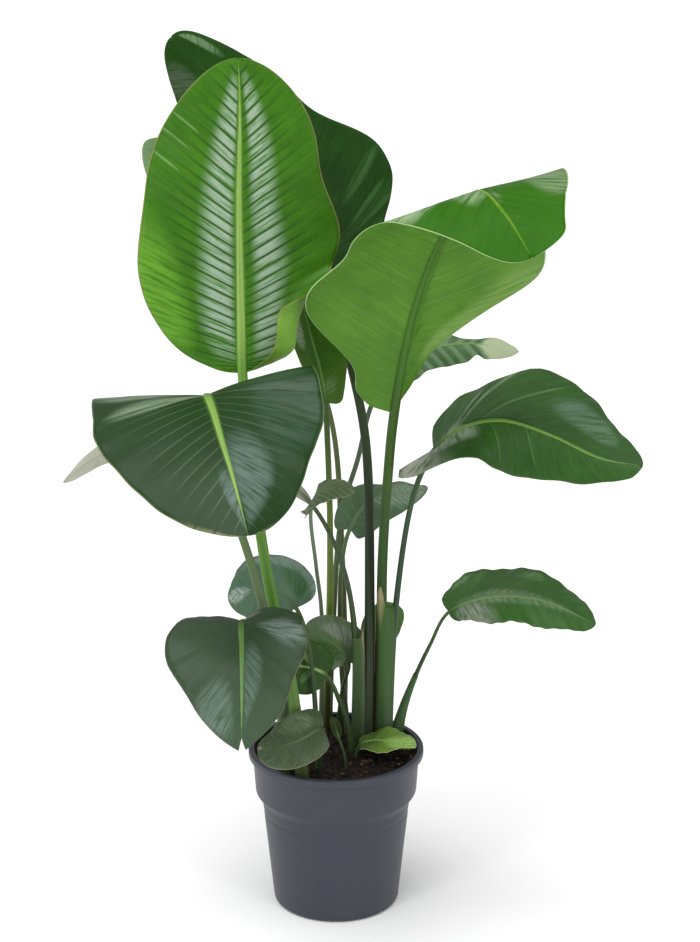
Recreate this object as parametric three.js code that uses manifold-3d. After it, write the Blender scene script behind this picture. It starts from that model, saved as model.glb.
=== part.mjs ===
import * as THREE from "three";
import { mergeVertices } from "three/addons/utils/BufferGeometryUtils.js";
import Module from "manifold-3d";

// A young bird of paradise in a plastic nursery pot. Millimetres, +Z up, front towards -Y.
// The origin is the centre of the pot's underside.

// The pot: a rolled lip, a collar, a step and a plain taper down to a flat floor.
const POT = {
  height: 225,
  lipRadius: 120,
  lipHeight: 11,
  lipRound: 2.5,
  collarTopRadius: 114,
  collarBottomRadius: 110.5,
  collarHeight: 62,
  stepHeight: 13,
  bodyTopRadius: 101.5,
  baseRadius: 86,
  baseChamfer: 4,
  wall: 2.4,
  floor: 3,
  segments: 36,
  color: 0x454b57,
};
// A shallow groove runs round the body a little below the step.
const GROOVE = { below: 16, height: 4, depth: 1 };
// Round holes in the floor, and notches under the bottom edge that let water out.
const DRAIN = { holes: 6, radius: 7, circle: 56, sides: 12 };
const NOTCH = { count: 10, width: 9, height: 2.2, depth: 7 };

// The compost fills the pot to a little under the lip. Its top is uneven: low bumps of three lengths.
const SOIL = {
  top: 211,
  edgeDrop: 2,
  bump: 2,
  bumpLengths: [107, 132, 195],
  rings: 4,
  color: 0x2d1d17,
};

const GAP = 0.3; // kept between pieces that touch
const CLEAR_ABOVE = 12; // how far a stalk's hole is cut above the compost

// A blade's full thickness beside its rib and at its margin.
const BLADE = { inner: 1.3, margin: 0.8 };
const LOBE_SHARE = 0.4; // the share of a blade's outline that its lobe bends back
const ROLL_SPAN = [0.45, 0.9]; // the share of a blade's half over which a roll turns it
const FOOT_ROLL = [0.34, 0.46]; // where along the outline a roll at the foot fades out
const TIP_ROLL = [0.6, 0.9]; // and where a roll at the tip sets in
const TIP_RADIUS = 0.9; // of the rib, at the tip
const TIP_WIDTH = 1.4; // the least that a half of the blade is wide, at the tip
const STALK_OVAL = 0.9; // a stalk's thickness as a share of its width
const JOIN = 2.5; // how far a stalk's last ring stays short of the blade, in radii of its upper end
const LONGEST_JOIN = 0.1; // and at most, as a share of the stalk
const FIRST_VEINS = 0.12; // keeps the first veins apart on the rib, as a share of their place v
const OUTLINE_END = 0.9995; // just short of the tip, so that the last ring keeps a width
const LINE_STEPS = 40; // samples of a centre line between two of its points

const PLASTIC_ROUGHNESS = 0.45;
const LEAF_ROUGHNESS = 0.45;
const SOIL_ROUGHNESS = 0.95;

// Each leaf grew as one piece: a stalk from the compost, then a rib with the blade on both sides.
//   stalk, rib    points of the centre line; the rib starts at the foot of the blade
//   stalkRadius   at the compost and at the foot of the blade
//   halfWidth     the widest of the blade, left and right of the rib, seen from its upper face
//   widest        where that is, as a share of the rib's length
//   ends          how round (under 1) or pointed (over 1) the blade is at its foot and its tip
//   lobe          how far each half of the blade reaches back past its foot
//   veins         angle between the veins and the rib, in degrees, at the foot, middle and tip
//   face          the way the upper face looks at the foot, middle and tip
//   lift          how far each half is folded up from flat, in degrees, [left, right] at the
//                 foot, middle and tip; curl adds to it evenly towards the margin
//   roll          how far the outer part is rolled over, in degrees, at the foot and the tip
//   wave          height of the margin's waves, how many there are, and where they start
//   swells        places where the margin swells out, or draws in (a share below 0):
//                 [half (0 left, 1 right), place, spread, share of the width]
//   cut           the share of the outline that is left before a split tip
//   fine          more rows and columns for a large blade
const LEAVES = [
  {
    name: "leaf_01",
    color: 0x4f8a2b,
    stalk: [[-42, -78, 186], [-60, -72, 350], [-88, -62, 488], [-108, -52, 635]],
    rib: [[-119, -41, 762], [-121, -22, 853], [-122, -6, 980], [-120, 6, 1092], [-121, 12, 1157]],
    stalkRadius: [10, 6.5],
    halfWidth: [134, 132],
    widest: [0.42, 0.42],
    ends: [1.35, 1.1],
    lobe: [0, 0],
    veins: [85, 62, 40],
    face: [[0, -1, 0.1], [0, -1, 0.1], [0, -1, 0.15]],
    lift: [[12, 0], [4, 4], [0, 0]],
    curl: [[0, 0], [-6, -8], [-10, -10]],
    roll: [[0, 155], [0, 0]],
    swells: [
      [0, 0.56, 0.09, -0.06], [0, 0.14, 0.06, -0.1], [1, 0.63, 0.08, -0.12],
      [1, 0.44, 0.05, -0.1], [1, 0.22, 0.08, 0.3],
    ],
    wave: [4, 3, 0],
    fine: true,
  },
  {
    name: "leaf_02",
    color: 0x24501f,
    stalk: [[43, 24, 186], [46, 36, 422], [40, 62, 643], [19, 85, 748]],
    rib: [[-9, 114, 858], [-53, 135, 950], [-105, 148, 1035], [-162, 150, 1112], [-216, 140, 1170]],
    stalkRadius: [8.3, 6],
    halfWidth: [105, 142],
    widest: [0.3, 0.22],
    ends: [2.4, 1],
    lobe: [10, 15],
    veins: [95, 66, 40],
    face: [[0.3, -1, 0.4], [0.1, -1, 0.5], [0, -1, 0.5]],
    lift: [[8, 8], [0, 0], [0, -10]],
    curl: [[0, 0], [-10, -10], [-10, -30]],
    swells: [
      [1, 0.82, 0.14, -0.2], [1, 0.66, 0.06, -0.19], [1, 0.57, 0.06, 0.08],
      [1, 0.5, 0.03, 0.03], [1, 0.38, 0.08, -0.22],
    ],
    wave: [4, 3, 1],
    fine: true,
  },
  {
    name: "leaf_03",
    color: 0x2c5526,
    stalk: [
      [-64, -64, 186], [-78, -80, 369], [-103, -92, 498], [-133, -104, 610],
      [-154, -114, 712],
    ],
    rib: [
      [-159, -140, 757], [-148, -200, 756], [-134, -265, 736], [-117, -330, 706],
      [-98, -389, 657],
    ],
    stalkRadius: [8, 5],
    halfWidth: [138, 150],
    widest: [0.32, 0.32],
    ends: [0.85, 1.35],
    lobe: [86, 74],
    veins: [105, 65, 38],
    face: [[0, 0, 1], [0, -0.3, 1], [0, -0.6, 1]],
    lift: [[45, 10], [12, 0], [-20, -10]],
    curl: [[0, 0], [-20, -10], [-20, -10]],
    swells: [
      [0, 0.34, 0.07, 0.1], [0, 0.67, 0.14, -0.14], [1, 0.32, 0.07, 0.08],
      [1, 0.68, 0.13, -0.08],
    ],
    wave: [4, 3, 2],
    fine: true,
  },
  {
    name: "leaf_04",
    color: 0x4c8a2a,
    stalk: [[60, 30, 186], [62, 28, 352], [63, 22, 485], [69, 8, 602]],
    rib: [
      [77, -10, 700], [101, -40, 844], [131, -90, 944],
      [172, -175, 1021], [201, -235, 1002], [231, -275, 958],
    ],
    stalkRadius: [8.3, 6.5],
    halfWidth: [145, 158],
    widest: [0.5, 0.3],
    ends: [3, 0.9],
    lobe: [0, 0],
    veins: [90, 62, 40],
    face: [[0.1, 1, 0], [-0.25, 0.6, 0.8], [-0.2, -0.6, 1]],
    lift: [[55, -10], [0, -4], [10, 0]],
    curl: [[0, 0], [0, 0], [0, 0]],
    swells: [
      [1, 0.35, 0.1, -0.5], [1, 0.24, 0.05, -0.16], [1, 0.58, 0.05, -0.16],
      [1, 0.74, 0.08, 0.2], [0, 0.25, 0.1, -0.45], [0, 0.43, 0.06, 0.2],
      [0, 0.92, 0.06, 0.3],
    ],
    wave: [3, 2, 1],
    fine: true,
  },
  {
    name: "leaf_05",
    color: 0x2f5a24,
    stalk: [[70, 46, 186], [82, 40, 422], [102, 20, 572], [118, 10, 622]],
    rib: [
      [130, 2, 646], [165, -15, 681], [216, -35, 697],
      [280, -60, 683], [339, -80, 659], [393, -95, 653],
    ],
    stalkRadius: [7.8, 4.5],
    halfWidth: [126, 60],
    widest: [0.45, 0.45],
    ends: [1.15, 1.15],
    lobe: [10, 66],
    veins: [105, 60, 36],
    face: [[0, -0.3, 1], [0, -0.4, 1], [0, -0.4, 1]],
    lift: [[10, 110], [0, -25], [-10, -10]],
    curl: [[0, 0], [-10, -20], [-10, -10]],
    swells: [
      [0, 0.1, 0.05, 0.4], [0, 0.36, 0.05, -0.11], [0, 0.48, 0.05, 0.08],
      [0, 0.6, 0.08, 0.1], [1, 0.12, 0.08, 0.3], [1, 0.3, 0.05, 0.2], [1, 0.4, 0.05, 0.1],
      [1, 0.47, 0.07, 0.12], [1, 0.58, 0.06, 0.04], [1, 0.8, 0.08, -0.25],
    ],
    wave: [4, 3, 0],
    fine: true,
  },
  {
    name: "leaf_06",
    color: 0x35602c,
    stalk: [[84, 50, 186], [91, 58, 240], [108, 66, 295], [130, 66, 347]],
    rib: [[155, 61, 397], [210, 50, 423], [282, 35, 423], [353, 20, 394]],
    stalkRadius: [7, 2.6],
    halfWidth: [62, 42],
    widest: [0.38, 0.45],
    ends: [0.95, 1.1],
    lobe: [6, 2],
    veins: [100, 58, 35],
    face: [[0, -0.4, 1], [0, -0.5, 1], [0, -0.5, 1]],
    lift: [[10, 0], [0, -10], [-10, -10]],
    curl: [[0, 0], [-10, -10], [-10, -10]],
    wave: [4, 4, 0],
  },
  {
    name: "leaf_07",
    color: 0x3f5a40,
    stalk: [[-48, -44, 186], [-62, -46, 290], [-92, -70, 395]],
    rib: [
      [-119, -130, 455], [-118, -180, 435], [-117, -215, 395], [-117, -235, 338],
      [-116, -240, 320],
    ],
    stalkRadius: [6, 4],
    halfWidth: [92, 100],
    widest: [0.3, 0.33],
    ends: [0.8, 1.9],
    lobe: [20, 9],
    veins: [100, 60, 10],
    face: [[0, -0.3, 1], [0, -0.9, 0.8], [0, -1, 0.3]],
    lift: [[60, 15], [-8, -5], [0, 0]],
    curl: [[-10, -10], [-10, -10], [-10, -10]],
    swells: [
      [0, 0.24, 0.06, 0.22], [0, 0.6, 0.14, -0.2], [1, 0.33, 0.1, 0.1],
      [1, 0.65, 0.12, -0.13],
    ],
    wave: [3, 3, 1],
    cut: 0.94,
  },
  {
    name: "leaf_08",
    color: 0x3a5a3c,
    stalk: [[-26, -42, 186], [-28, -30, 300], [-38, -22, 390]],
    rib: [[-53, -15, 431], [-70, -10, 447], [-97, -3, 453], [-146, 14, 434]],
    stalkRadius: [5, 3],
    halfWidth: [45, 52],
    widest: [0.4, 0.4],
    ends: [0.9, 1.1],
    lobe: [2, 4],
    veins: [98, 60, 36],
    face: [[0, -0.8, 0.6], [0, -0.8, 0.6], [0, -0.8, 0.6]],
    lift: [[0, 20], [0, 5], [0, 0]],
    curl: [[0, 0], [-10, -10], [-10, -10]],
    wave: [3, 3, 0],
  },
  {
    name: "leaf_09",
    color: 0x486048,
    stalk: [[-22, -72, 186], [-20, -74, 240], [-14, -80, 275]],
    rib: [[-18, -92, 290], [-45, -112, 283], [-75, -120, 275], [-103, -112, 270]],
    stalkRadius: [4.5, 2.6],
    halfWidth: [34, 36],
    widest: [0.42, 0.36],
    ends: [0.85, 0.95],
    lobe: [4, 8],
    veins: [98, 60, 36],
    face: [[0, -0.7, 0.7], [0, -0.8, 0.6], [0, -0.7, 0.7]],
    lift: [[0, 30], [0, 5], [0, 0]],
    curl: [[0, 0], [-10, -10], [-10, -10]],
    wave: [2, 3, 0],
  },
  {
    name: "leaf_10",
    color: 0x31552b,
    stalk: [[24, 8, 186], [16, 12, 250], [4, 10, 289]],
    rib: [[-14, -2, 330], [-40, -14, 346], [-62, -24, 350], [-86, -32, 342]],
    stalkRadius: [8, 3],
    halfWidth: [38, 38],
    widest: [0.42, 0.42],
    ends: [0.85, 1],
    lobe: [6, 4],
    veins: [98, 60, 36],
    face: [[0.2, -0.8, 0.6], [0, -0.9, 0.5], [0, -0.9, 0.5]],
    lift: [[0, 15], [0, 5], [0, 0]],
    curl: [[0, 0], [-10, -10], [-10, -10]],
    wave: [2, 3, 0],
  },
  {
    name: "leaf_11",
    color: 0x46663f,
    stalk: [[2, 54, 186], [4, 53, 250], [9, 49, 290]],
    rib: [[18, 42, 330], [6, 37, 352], [-15, 32, 369], [-42, 24, 388]],
    stalkRadius: [4, 2.4],
    halfWidth: [34, 40],
    widest: [0.4, 0.35],
    ends: [0.9, 1],
    lobe: [4, 4],
    veins: [98, 60, 36],
    face: [[0, -0.5, 0.8], [0, -0.5, 0.8], [0, -0.5, 0.8]],
    lift: [[0, 30], [0, 20], [0, 0]],
    curl: [[0, 0], [-10, 10], [-10, 0]],
    wave: [2, 3, 0],
  },
  {
    name: "leaf_12",
    color: 0x3c5a3a,
    stalk: [[18, 74, 186], [6, 90, 337], [8, 98, 456]],
    rib: [[19, 110, 501], [44, 116, 537], [85, 122, 551], [127, 126, 556]],
    stalkRadius: [5, 3],
    halfWidth: [32, 36],
    widest: [0.35, 0.35],
    ends: [0.85, 1.3],
    lobe: [10, 10],
    veins: [100, 60, 36],
    face: [[0, -1, 0.3], [0, -1, 0.4], [0, -1, 0.4]],
    lift: [[10, 10], [0, 0], [0, 0]],
    curl: [[0, 0], [-10, -10], [-10, -10]],
    swells: [[0, 0.62, 0.1, -0.45], [0, 0.82, 0.12, -0.6], [1, 0.2, 0.1, -0.15]],
    wave: [2, 3, 0],
  },
  {
    name: "leaf_13",
    color: 0x5a7556,
    stalk: [[-22, 60, 186], [-20, 62, 391], [-27, 28, 478]],
    rib: [[-33, -4, 562], [-27, -15, 588], [-5, -21, 600], [27, -25, 600]],
    stalkRadius: [4.5, 3],
    halfWidth: [26, 30],
    widest: [0.4, 0.35],
    ends: [0.9, 1.2],
    lobe: [4, 4],
    veins: [98, 60, 36],
    face: [[-0.3, -0.3, 1], [0, -0.3, 1], [0, -0.3, 1]],
    lift: [[10, 40], [0, 10], [0, 0]],
    curl: [[0, 0], [-10, -10], [-10, -10]],
    swells: [[0, 0.66, 0.15, 0.32], [1, 0.28, 0.1, -0.45], [1, 0.68, 0.08, 0.15]],
    wave: [2, 3, 0],
  },
  {
    name: "leaf_14",
    color: 0x4a6d42,
    stalk: [[-12, 92, 186], [-6, 120, 335], [8, 134, 516], [30, 134, 595], [50, 134, 675]],
    rib: [[76, 136, 715], [120, 138, 748], [185, 142, 757], [250, 145, 745]],
    stalkRadius: [6, 3.5],
    halfWidth: [30, 30],
    widest: [0.4, 0.4],
    ends: [0.9, 1.3],
    lobe: [6, 6],
    veins: [98, 60, 36],
    face: [[-0.3, -0.6, 0.8], [0, -0.7, 0.8], [0, -0.7, 0.8]],
    lift: [[20, 0], [10, -10], [0, 0]],
    curl: [[0, 0], [-10, -10], [-10, -10]],
    swells: [
      [0, 0.64, 0.12, -0.7], [0, 0.84, 0.05, -0.2], [1, 0.3, 0.08, 0.3],
      [1, 0.67, 0.03, -0.3],
    ],
    wave: [2, 3, 0],
  },
  {
    name: "leaf_15",
    color: 0x31582a,
    stalk: [[-16, 76, 186], [-10, 82, 347], [-8, 74, 511], [-11, 60, 640]],
    rib: [[-14, 50, 698], [-22, 52, 745], [-36, 56, 800], [-49, 62, 862]],
    stalkRadius: [6.5, 4],
    halfWidth: [40, 46],
    widest: [0.4, 0.4],
    ends: [0.85, 1.1],
    lobe: [8, 8],
    veins: [98, 60, 36],
    face: [[0.3, -1, 0.3], [0.3, -1, 0.3], [0.3, -1, 0.3]],
    lift: [[60, 10], [40, 0], [0, 0]],
    curl: [[0, 0], [0, 0], [0, 0]],
    swells: [[1, 0.3, 0.15, -0.22]],
    wave: [2, 3, 0],
  },
  {
    name: "leaf_16",
    color: 0x33602b,
    stalk: [[4, 96, 186], [10, 100, 240], [8, 140, 449], [-6, 160, 640], [-44, 176, 748]],
    rib: [[-74, 185, 800], [-130, 200, 880], [-200, 212, 960], [-260, 215, 1022]],
    stalkRadius: [6, 3.5],
    halfWidth: [60, 70],
    widest: [0.4, 0.4],
    ends: [0.9, 1.2],
    lobe: [6, 6],
    veins: [98, 60, 36],
    face: [[0.2, -1, 0.3], [0.1, -1, 0.3], [0, -1, 0.3]],
    lift: [[5, 5], [0, 0], [0, 0]],
    curl: [[0, 0], [-10, -10], [-10, -10]],
    wave: [2, 3, 0],
  },
  {
    name: "leaf_17",
    color: 0x6f8562,
    stalk: [[27, 30, 186], [25, 24, 389], [8, 20, 483]],
    rib: [
      [-26, 22, 556], [-60, 26, 590], [-150, 28, 636], [-250, 18, 654], [-318, 8, 634],
      [-360, 0, 602],
    ],
    stalkRadius: [8, 3],
    halfWidth: [26, 28],
    widest: [0.5, 0.5],
    ends: [2.4, 1.2],
    lobe: [4, 4],
    veins: [98, 60, 36],
    face: [[0, 1, 0.4], [0, 1, 0.3], [0, 1, 0.3]],
    lift: [[5, 5], [0, 10], [0, 0]],
    curl: [[0, 0], [0, 0], [0, 0]],
    swells: [[0, 0.84, 0.14, -0.4]],
    wave: [3, 3, 0],
  },
  {
    name: "leaf_18",
    color: 0x3f6b33,
    stalk: [[46, 66, 186], [50, 78, 270]],
    rib: [[56, 86, 340], [68, 92, 368], [90, 94, 392]],
    stalkRadius: [4, 2.4],
    halfWidth: [30, 24],
    widest: [0.42, 0.4],
    ends: [0.9, 1],
    lobe: [4, 4],
    veins: [98, 60, 36],
    face: [[0, -1, 0.4], [0, -1, 0.4], [0, -1, 0.4]],
    lift: [[5, 5], [0, 0], [0, 0]],
    curl: [[0, 0], [0, 0], [0, 0]],
    wave: [2, 3, 0],
  },
  {
    name: "leaf_19",
    color: 0x6f9a45,
    stalk: [[26, -8, 186], [27, -4, 214]],
    rib: [[33, -2, 227], [52, -12, 238], [71, -22, 241], [108, -38, 238]],
    stalkRadius: [4.5, 2.6],
    halfWidth: [28, 28],
    widest: [0.45, 0.45],
    ends: [0.9, 1],
    lobe: [2, 2],
    veins: [98, 60, 36],
    face: [[0, -0.2, 1], [0, -0.2, 1], [0, -0.2, 1]],
    lift: [[5, 0], [5, 0], [0, 0]],
    curl: [[0, 0], [0, 0], [0, 0]],
    roll: [[0, 0], [0, 130]],
    wave: [2, 3, 0],
  },
  {
    name: "leaf_20",
    color: 0x55803c,
    stalk: [[15, -42, 186], [12, -38, 225]],
    rib: [[4, -32, 250], [0, -28, 264], [-6, -24, 278]],
    stalkRadius: [2.6, 1.8],
    halfWidth: [7, 7],
    widest: [0.45, 0.45],
    ends: [1, 1.2],
    lobe: [0, 0],
    veins: [90, 60, 36],
    face: [[0, -1, 0.3], [0, -1, 0.3], [0, -1, 0.3]],
    lift: [[10, 10], [5, 5], [0, 0]],
    curl: [[0, 0], [0, 0], [0, 0]],
    wave: [1, 2, 0],
  },
];

const wasm = await Module();
wasm.setup();

function geometryOf(positions, indices) {
  const geometry = new THREE.BufferGeometry();
  geometry.setAttribute("position", new THREE.Float32BufferAttribute(positions, 3));
  geometry.setIndex(indices);
  geometry.computeVertexNormals();
  return geometry;
}

// A closed geometry as a solid that can be joined and cut.
function solidOf(geometry) {
  const bare = new THREE.BufferGeometry();
  bare.setAttribute("position", geometry.getAttribute("position"));
  bare.setIndex(geometry.index);
  const merged = mergeVertices(bare, 1e-3);
  const mesh = new wasm.Mesh({
    numProp: 3,
    vertProperties: merged.getAttribute("position").array,
    triVerts: new Uint32Array(merged.index.array),
  });
  return new wasm.Manifold(mesh);
}

function geometryOfSolid(solid) {
  const mesh = solid.getMesh();
  return geometryOf(Array.from(mesh.vertProperties), Array.from(mesh.triVerts));
}

const radians = THREE.MathUtils.degToRad;

// A value that runs smoothly through its amounts at the foot, the middle and the tip.
function along([foot, middle, tip], v) {
  return foot * (1 - v) * (1 - 2 * v) + 4 * middle * v * (1 - v) + tip * v * (2 * v - 1);
}

// The centre line of a leaf: at(t) is a point of the blade's rib, and stalkAt(t) one of its stalk.
function leafLine(leaf) {
  const points = [...leaf.stalk, ...leaf.rib].map((p) => new THREE.Vector3(...p));
  const curve = new THREE.CatmullRomCurve3(points);
  curve.arcLengthDivisions = LINE_STEPS * (points.length - 1);
  const lengths = curve.getLengths();
  const total = lengths.at(-1);
  const foot = lengths[LINE_STEPS * leaf.stalk.length];
  return {
    ribLength: total - foot,
    stalkLength: foot,
    stalkAt: (t) => frameAt(curve, (foot * t) / total),
    at: (t) => frameAt(curve, (foot + (total - foot) * t) / total),
  };
}

function frameAt(curve, u) {
  return { point: curve.getPointAt(u), ahead: curve.getTangentAt(u) };
}

// Completes a frame from the way its upper face should look.
function faceUp(frame, up) {
  frame.up = up.clone().addScaledVector(frame.ahead, -up.dot(frame.ahead)).normalize();
  frame.right = new THREE.Vector3().crossVectors(frame.ahead, frame.up);
  return frame;
}

// One point of the blade's outline and the vein that reaches it: how far along the rib the vein
// starts, its length and its angle. v runs from the foot (0) to the tip (1) of the outline.
function vein(leaf, pick, v, ribLength) {
  const shape = Math.log(leaf.widest[pick]) / Math.log(0.5);
  const round = leaf.ends[0] + (leaf.ends[1] - leaf.ends[0]) * v;
  let width = leaf.halfWidth[pick] * Math.sin(Math.PI * v) ** round;
  for (const [half, place, spread, share] of leaf.swells ?? []) {
    if (half === pick) width *= 1 + share * Math.exp(-(((v - place) / spread) ** 2));
  }
  const back = leaf.lobe[pick] * Math.sin(Math.PI * Math.min(1, v / LOBE_SHARE));
  const reach = ribLength * ((1 - Math.cos(Math.PI * v)) / 2) ** shape - back;
  const angle = radians(along(leaf.veins, v));
  const least = FIRST_VEINS * v * ribLength;
  const start = THREE.MathUtils.clamp(reach - width / Math.tan(angle), least, ribLength);
  return { start, reach, width: Math.max(width, TIP_WIDTH) };
}

// The rib's frame at a distance from the foot of the blade, carried straight on past its ends.
function ribFrame(leaf, line, distance) {
  const t = THREE.MathUtils.clamp(distance / line.ribLength, 0, 1);
  const frame = line.at(t);
  frame.point.addScaledVector(frame.ahead, distance - t * line.ribLength);
  const face = [0, 1, 2].map((axis) => along(leaf.face.map((look) => look[axis]), t));
  return faceUp(frame, new THREE.Vector3(...face));
}

// How far the outer part of a half is rolled over: most at its ends, and flat between them.
function rollAt(leaf, pick, v) {
  const [foot, tip] = (leaf.roll ?? [[0, 0], [0, 0]]).map((ends) => ends[pick]);
  const smooth = THREE.MathUtils.smoothstep;
  return foot * (1 - smooth(v, ...FOOT_ROLL)) + tip * smooth(v, ...TIP_ROLL);
}

// The middle surface of one half of the blade at v: its points from the rib to the margin.
function veinPoints(leaf, line, side, v, columns, ribRadius) {
  const pick = side < 0 ? 0 : 1;
  const { start, reach, width } = vein(leaf, pick, v, line.ribLength);
  const lift = radians(along(leaf.lift.map((l) => l[pick]), v));
  const curl = radians(along(leaf.curl.map((c) => c[pick]), v));
  const roll = radians(rollAt(leaf, pick, v));
  const first = Math.min(ribRadius / width, 0.5);
  const [height, count, phase] = leaf.wave;
  const points = [ribFrame(leaf, line, start).point];
  let outward = 0;
  let upward = 0;
  let from = 0;
  for (let k = 1; k <= columns; k++) {
    const to = first + ((1 - first) * (k - 1)) / (columns - 1);
    const middle = (from + to) / 2;
    const fold = lift + curl * middle + roll * THREE.MathUtils.smoothstep(middle, ...ROLL_SPAN);
    outward += (to - from) * width * Math.cos(fold);
    upward += (to - from) * width * Math.sin(fold);
    const swing = Math.sin(2 * Math.PI * count * v + phase + side);
    const wave = height * to * to * Math.sin(Math.PI * v) * swing;
    const frame = ribFrame(leaf, line, start + (reach - start) * to);
    frame.point.addScaledVector(frame.right, side * outward).addScaledVector(frame.up, upward + wave);
    points.push(frame.point);
    from = to;
  }
  return points;
}

// A closed ring round a stalk, with as many points as a ring round the blade.
function stalkRing(frame, radius, columns) {
  const count = 2 * (2 * columns + 1);
  const ring = [];
  for (let j = 0; j < count; j++) {
    const angle = Math.PI - ((j + 0.5) * 2 * Math.PI) / count;
    ring.push(
      frame.point.clone()
        .addScaledVector(frame.right, radius * Math.cos(angle))
        .addScaledVector(frame.up, radius * STALK_OVAL * Math.sin(angle)),
    );
  }
  return ring;
}

// Columns of the blade on each side of its rib, and rows from its foot to its tip.
const columnsOf = (leaf) => (leaf.fine ? 4 : 3);
const rowsOf = (leaf) => (leaf.fine ? 12 : 9);

// The frames and radii of a stalk, from its cut end in the compost to the foot of the blade.
function stalkStations(leaf, line) {
  const count = leaf.stalk.length + 1;
  const [thick, thin] = leaf.stalkRadius;
  const last = 1 - Math.min((JOIN * thin) / line.stalkLength, LONGEST_JOIN);
  const stations = [];
  let up = new THREE.Vector3(...leaf.face[0]);
  for (let i = count; i >= 0; i--) {
    const t = (i / count) * last;
    const frame = faceUp(line.stalkAt(t), up);
    up = frame.up;
    stations.unshift({ frame, radius: thin + (thick - thin) * (1 - t) ** 2 });
  }
  return stations;
}

// The rows of the blade's middle surface, each from its left margin to its right one.
function bladeRows(leaf, line) {
  const columns = columnsOf(leaf);
  const count = rowsOf(leaf);
  const footRadius = leaf.stalkRadius[1];
  const rows = [];
  for (let i = 1; i <= count; i++) {
    const v = (i / count) * (leaf.cut ?? OUTLINE_END);
    const ribRadius = TIP_RADIUS + (footRadius - TIP_RADIUS) * (1 - v);
    const left = veinPoints(leaf, line, -1, v, columns, ribRadius);
    const right = veinPoints(leaf, line, 1, v, columns, ribRadius);
    const starts = [0, 1].map((pick) => vein(leaf, pick, v, line.ribLength).start);
    const { point, up } = ribFrame(leaf, line, (starts[0] + starts[1]) / 2);
    rows.push({ ribRadius, up, points: [...left.slice(1).reverse(), point, ...right.slice(1)] });
  }
  return rows;
}

// The blade's rings: its middle surface given a thickness, with the rib standing out below.
function bladeRings(rows, columns) {
  return rows.map((row, i) => {
    const before = rows[Math.max(i - 1, 0)].points;
    const after = rows[Math.min(i + 1, rows.length - 1)].points;
    const top = [];
    const bottom = [];
    row.points.forEach((point, k) => {
      const across = row.points[Math.min(k + 1, 2 * columns)].clone()
        .sub(row.points[Math.max(k - 1, 0)]);
      const ahead = after[k].clone().sub(before[k]);
      const up = k === columns ? row.up : across.cross(ahead).normalize();
      const out = Math.abs(k - columns) / columns;
      const half = (BLADE.inner + (BLADE.margin - BLADE.inner) * out) / 2;
      const below = k === columns ? Math.max(half, row.ribRadius) : half;
      top.push(point.clone().addScaledVector(up, half));
      bottom.unshift(point.clone().addScaledVector(up, -below));
    });
    return [...top, ...bottom];
  });
}

// Closes the rings into one skin. Both faces of the blade are split into triangles alike.
function skin(rings, columns) {
  const row = 2 * columns + 1;
  const count = 2 * row;
  const indices = [];
  const quad = (a, b, c, d) => indices.push(a, b, c, a, c, d);
  for (let i = 0; i + 1 < rings.length; i++) {
    for (let k = 0; k < count; k++) {
      const next = (k + 1) % count;
      const here = i * count;
      const there = here + count;
      const column = k < row ? k : count - 2 - k;
      const leftHalf = column < columns;
      if (leftHalf === k < row) quad(here + k, here + next, there + next, there + k);
      else quad(here + next, there + next, there + k, here + k);
    }
  }
  const last = (rings.length - 1) * count;
  for (let k = 0; k + 1 < row; k++) {
    quad(k, count - 1 - k, count - 2 - k, k + 1);
    quad(last + k, last + k + 1, last + count - 2 - k, last + count - 1 - k);
  }
  return geometryOf(rings.flat().flatMap((p) => p.toArray()), indices);
}

function leafMesh(leaf) {
  const columns = columnsOf(leaf);
  const line = leafLine(leaf);
  const stalk = stalkStations(leaf, line).map(({ frame, radius }) => stalkRing(frame, radius, columns));
  const blade = bladeRings(bladeRows(leaf, line), columns);
  return named(leaf.name, skin([...stalk, ...blade], columns), leaf.color, LEAF_ROUGHNESS);
}

// The space that a stalk takes up in the compost, with a gap all round.
function stalkHole(leaf) {
  const stations = stalkStations(leaf, leafLine(leaf));
  stations[0].frame.point.addScaledVector(stations[0].frame.ahead, -GAP);
  const above = stations.findIndex(({ frame }) => frame.point.z > SOIL.top + CLEAR_ABOVE);
  const rings = stations.slice(0, above + 1)
    .map(({ frame, radius }) => stalkRing(frame, radius + GAP, columnsOf(leaf)));
  return solidOf(skin(rings, columnsOf(leaf)));
}

function named(name, geometry, color, roughness) {
  const mesh = new THREE.Mesh(geometry, new THREE.MeshStandardMaterial({ color, roughness }));
  mesh.name = name;
  return mesh;
}

// A profile of [radius, height] points turned round the +Z axis.
function turned(profile) {
  const points = profile.map(([radius, height]) => new THREE.Vector2(radius, height));
  return new THREE.LatheGeometry(points, POT.segments).rotateX(Math.PI / 2);
}

// The inside of the pot's wall, from the floor up, drawn in by a gap.
function innerWall(gap) {
  const inset = POT.wall + gap;
  return [
    [POT.baseRadius - inset, POT.floor + gap],
    [POT.bodyTopRadius - inset, POT.height - POT.collarHeight - POT.stepHeight],
    [POT.collarBottomRadius - inset, POT.height - POT.collarHeight],
    [POT.collarTopRadius - inset, POT.height],
  ];
}

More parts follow.
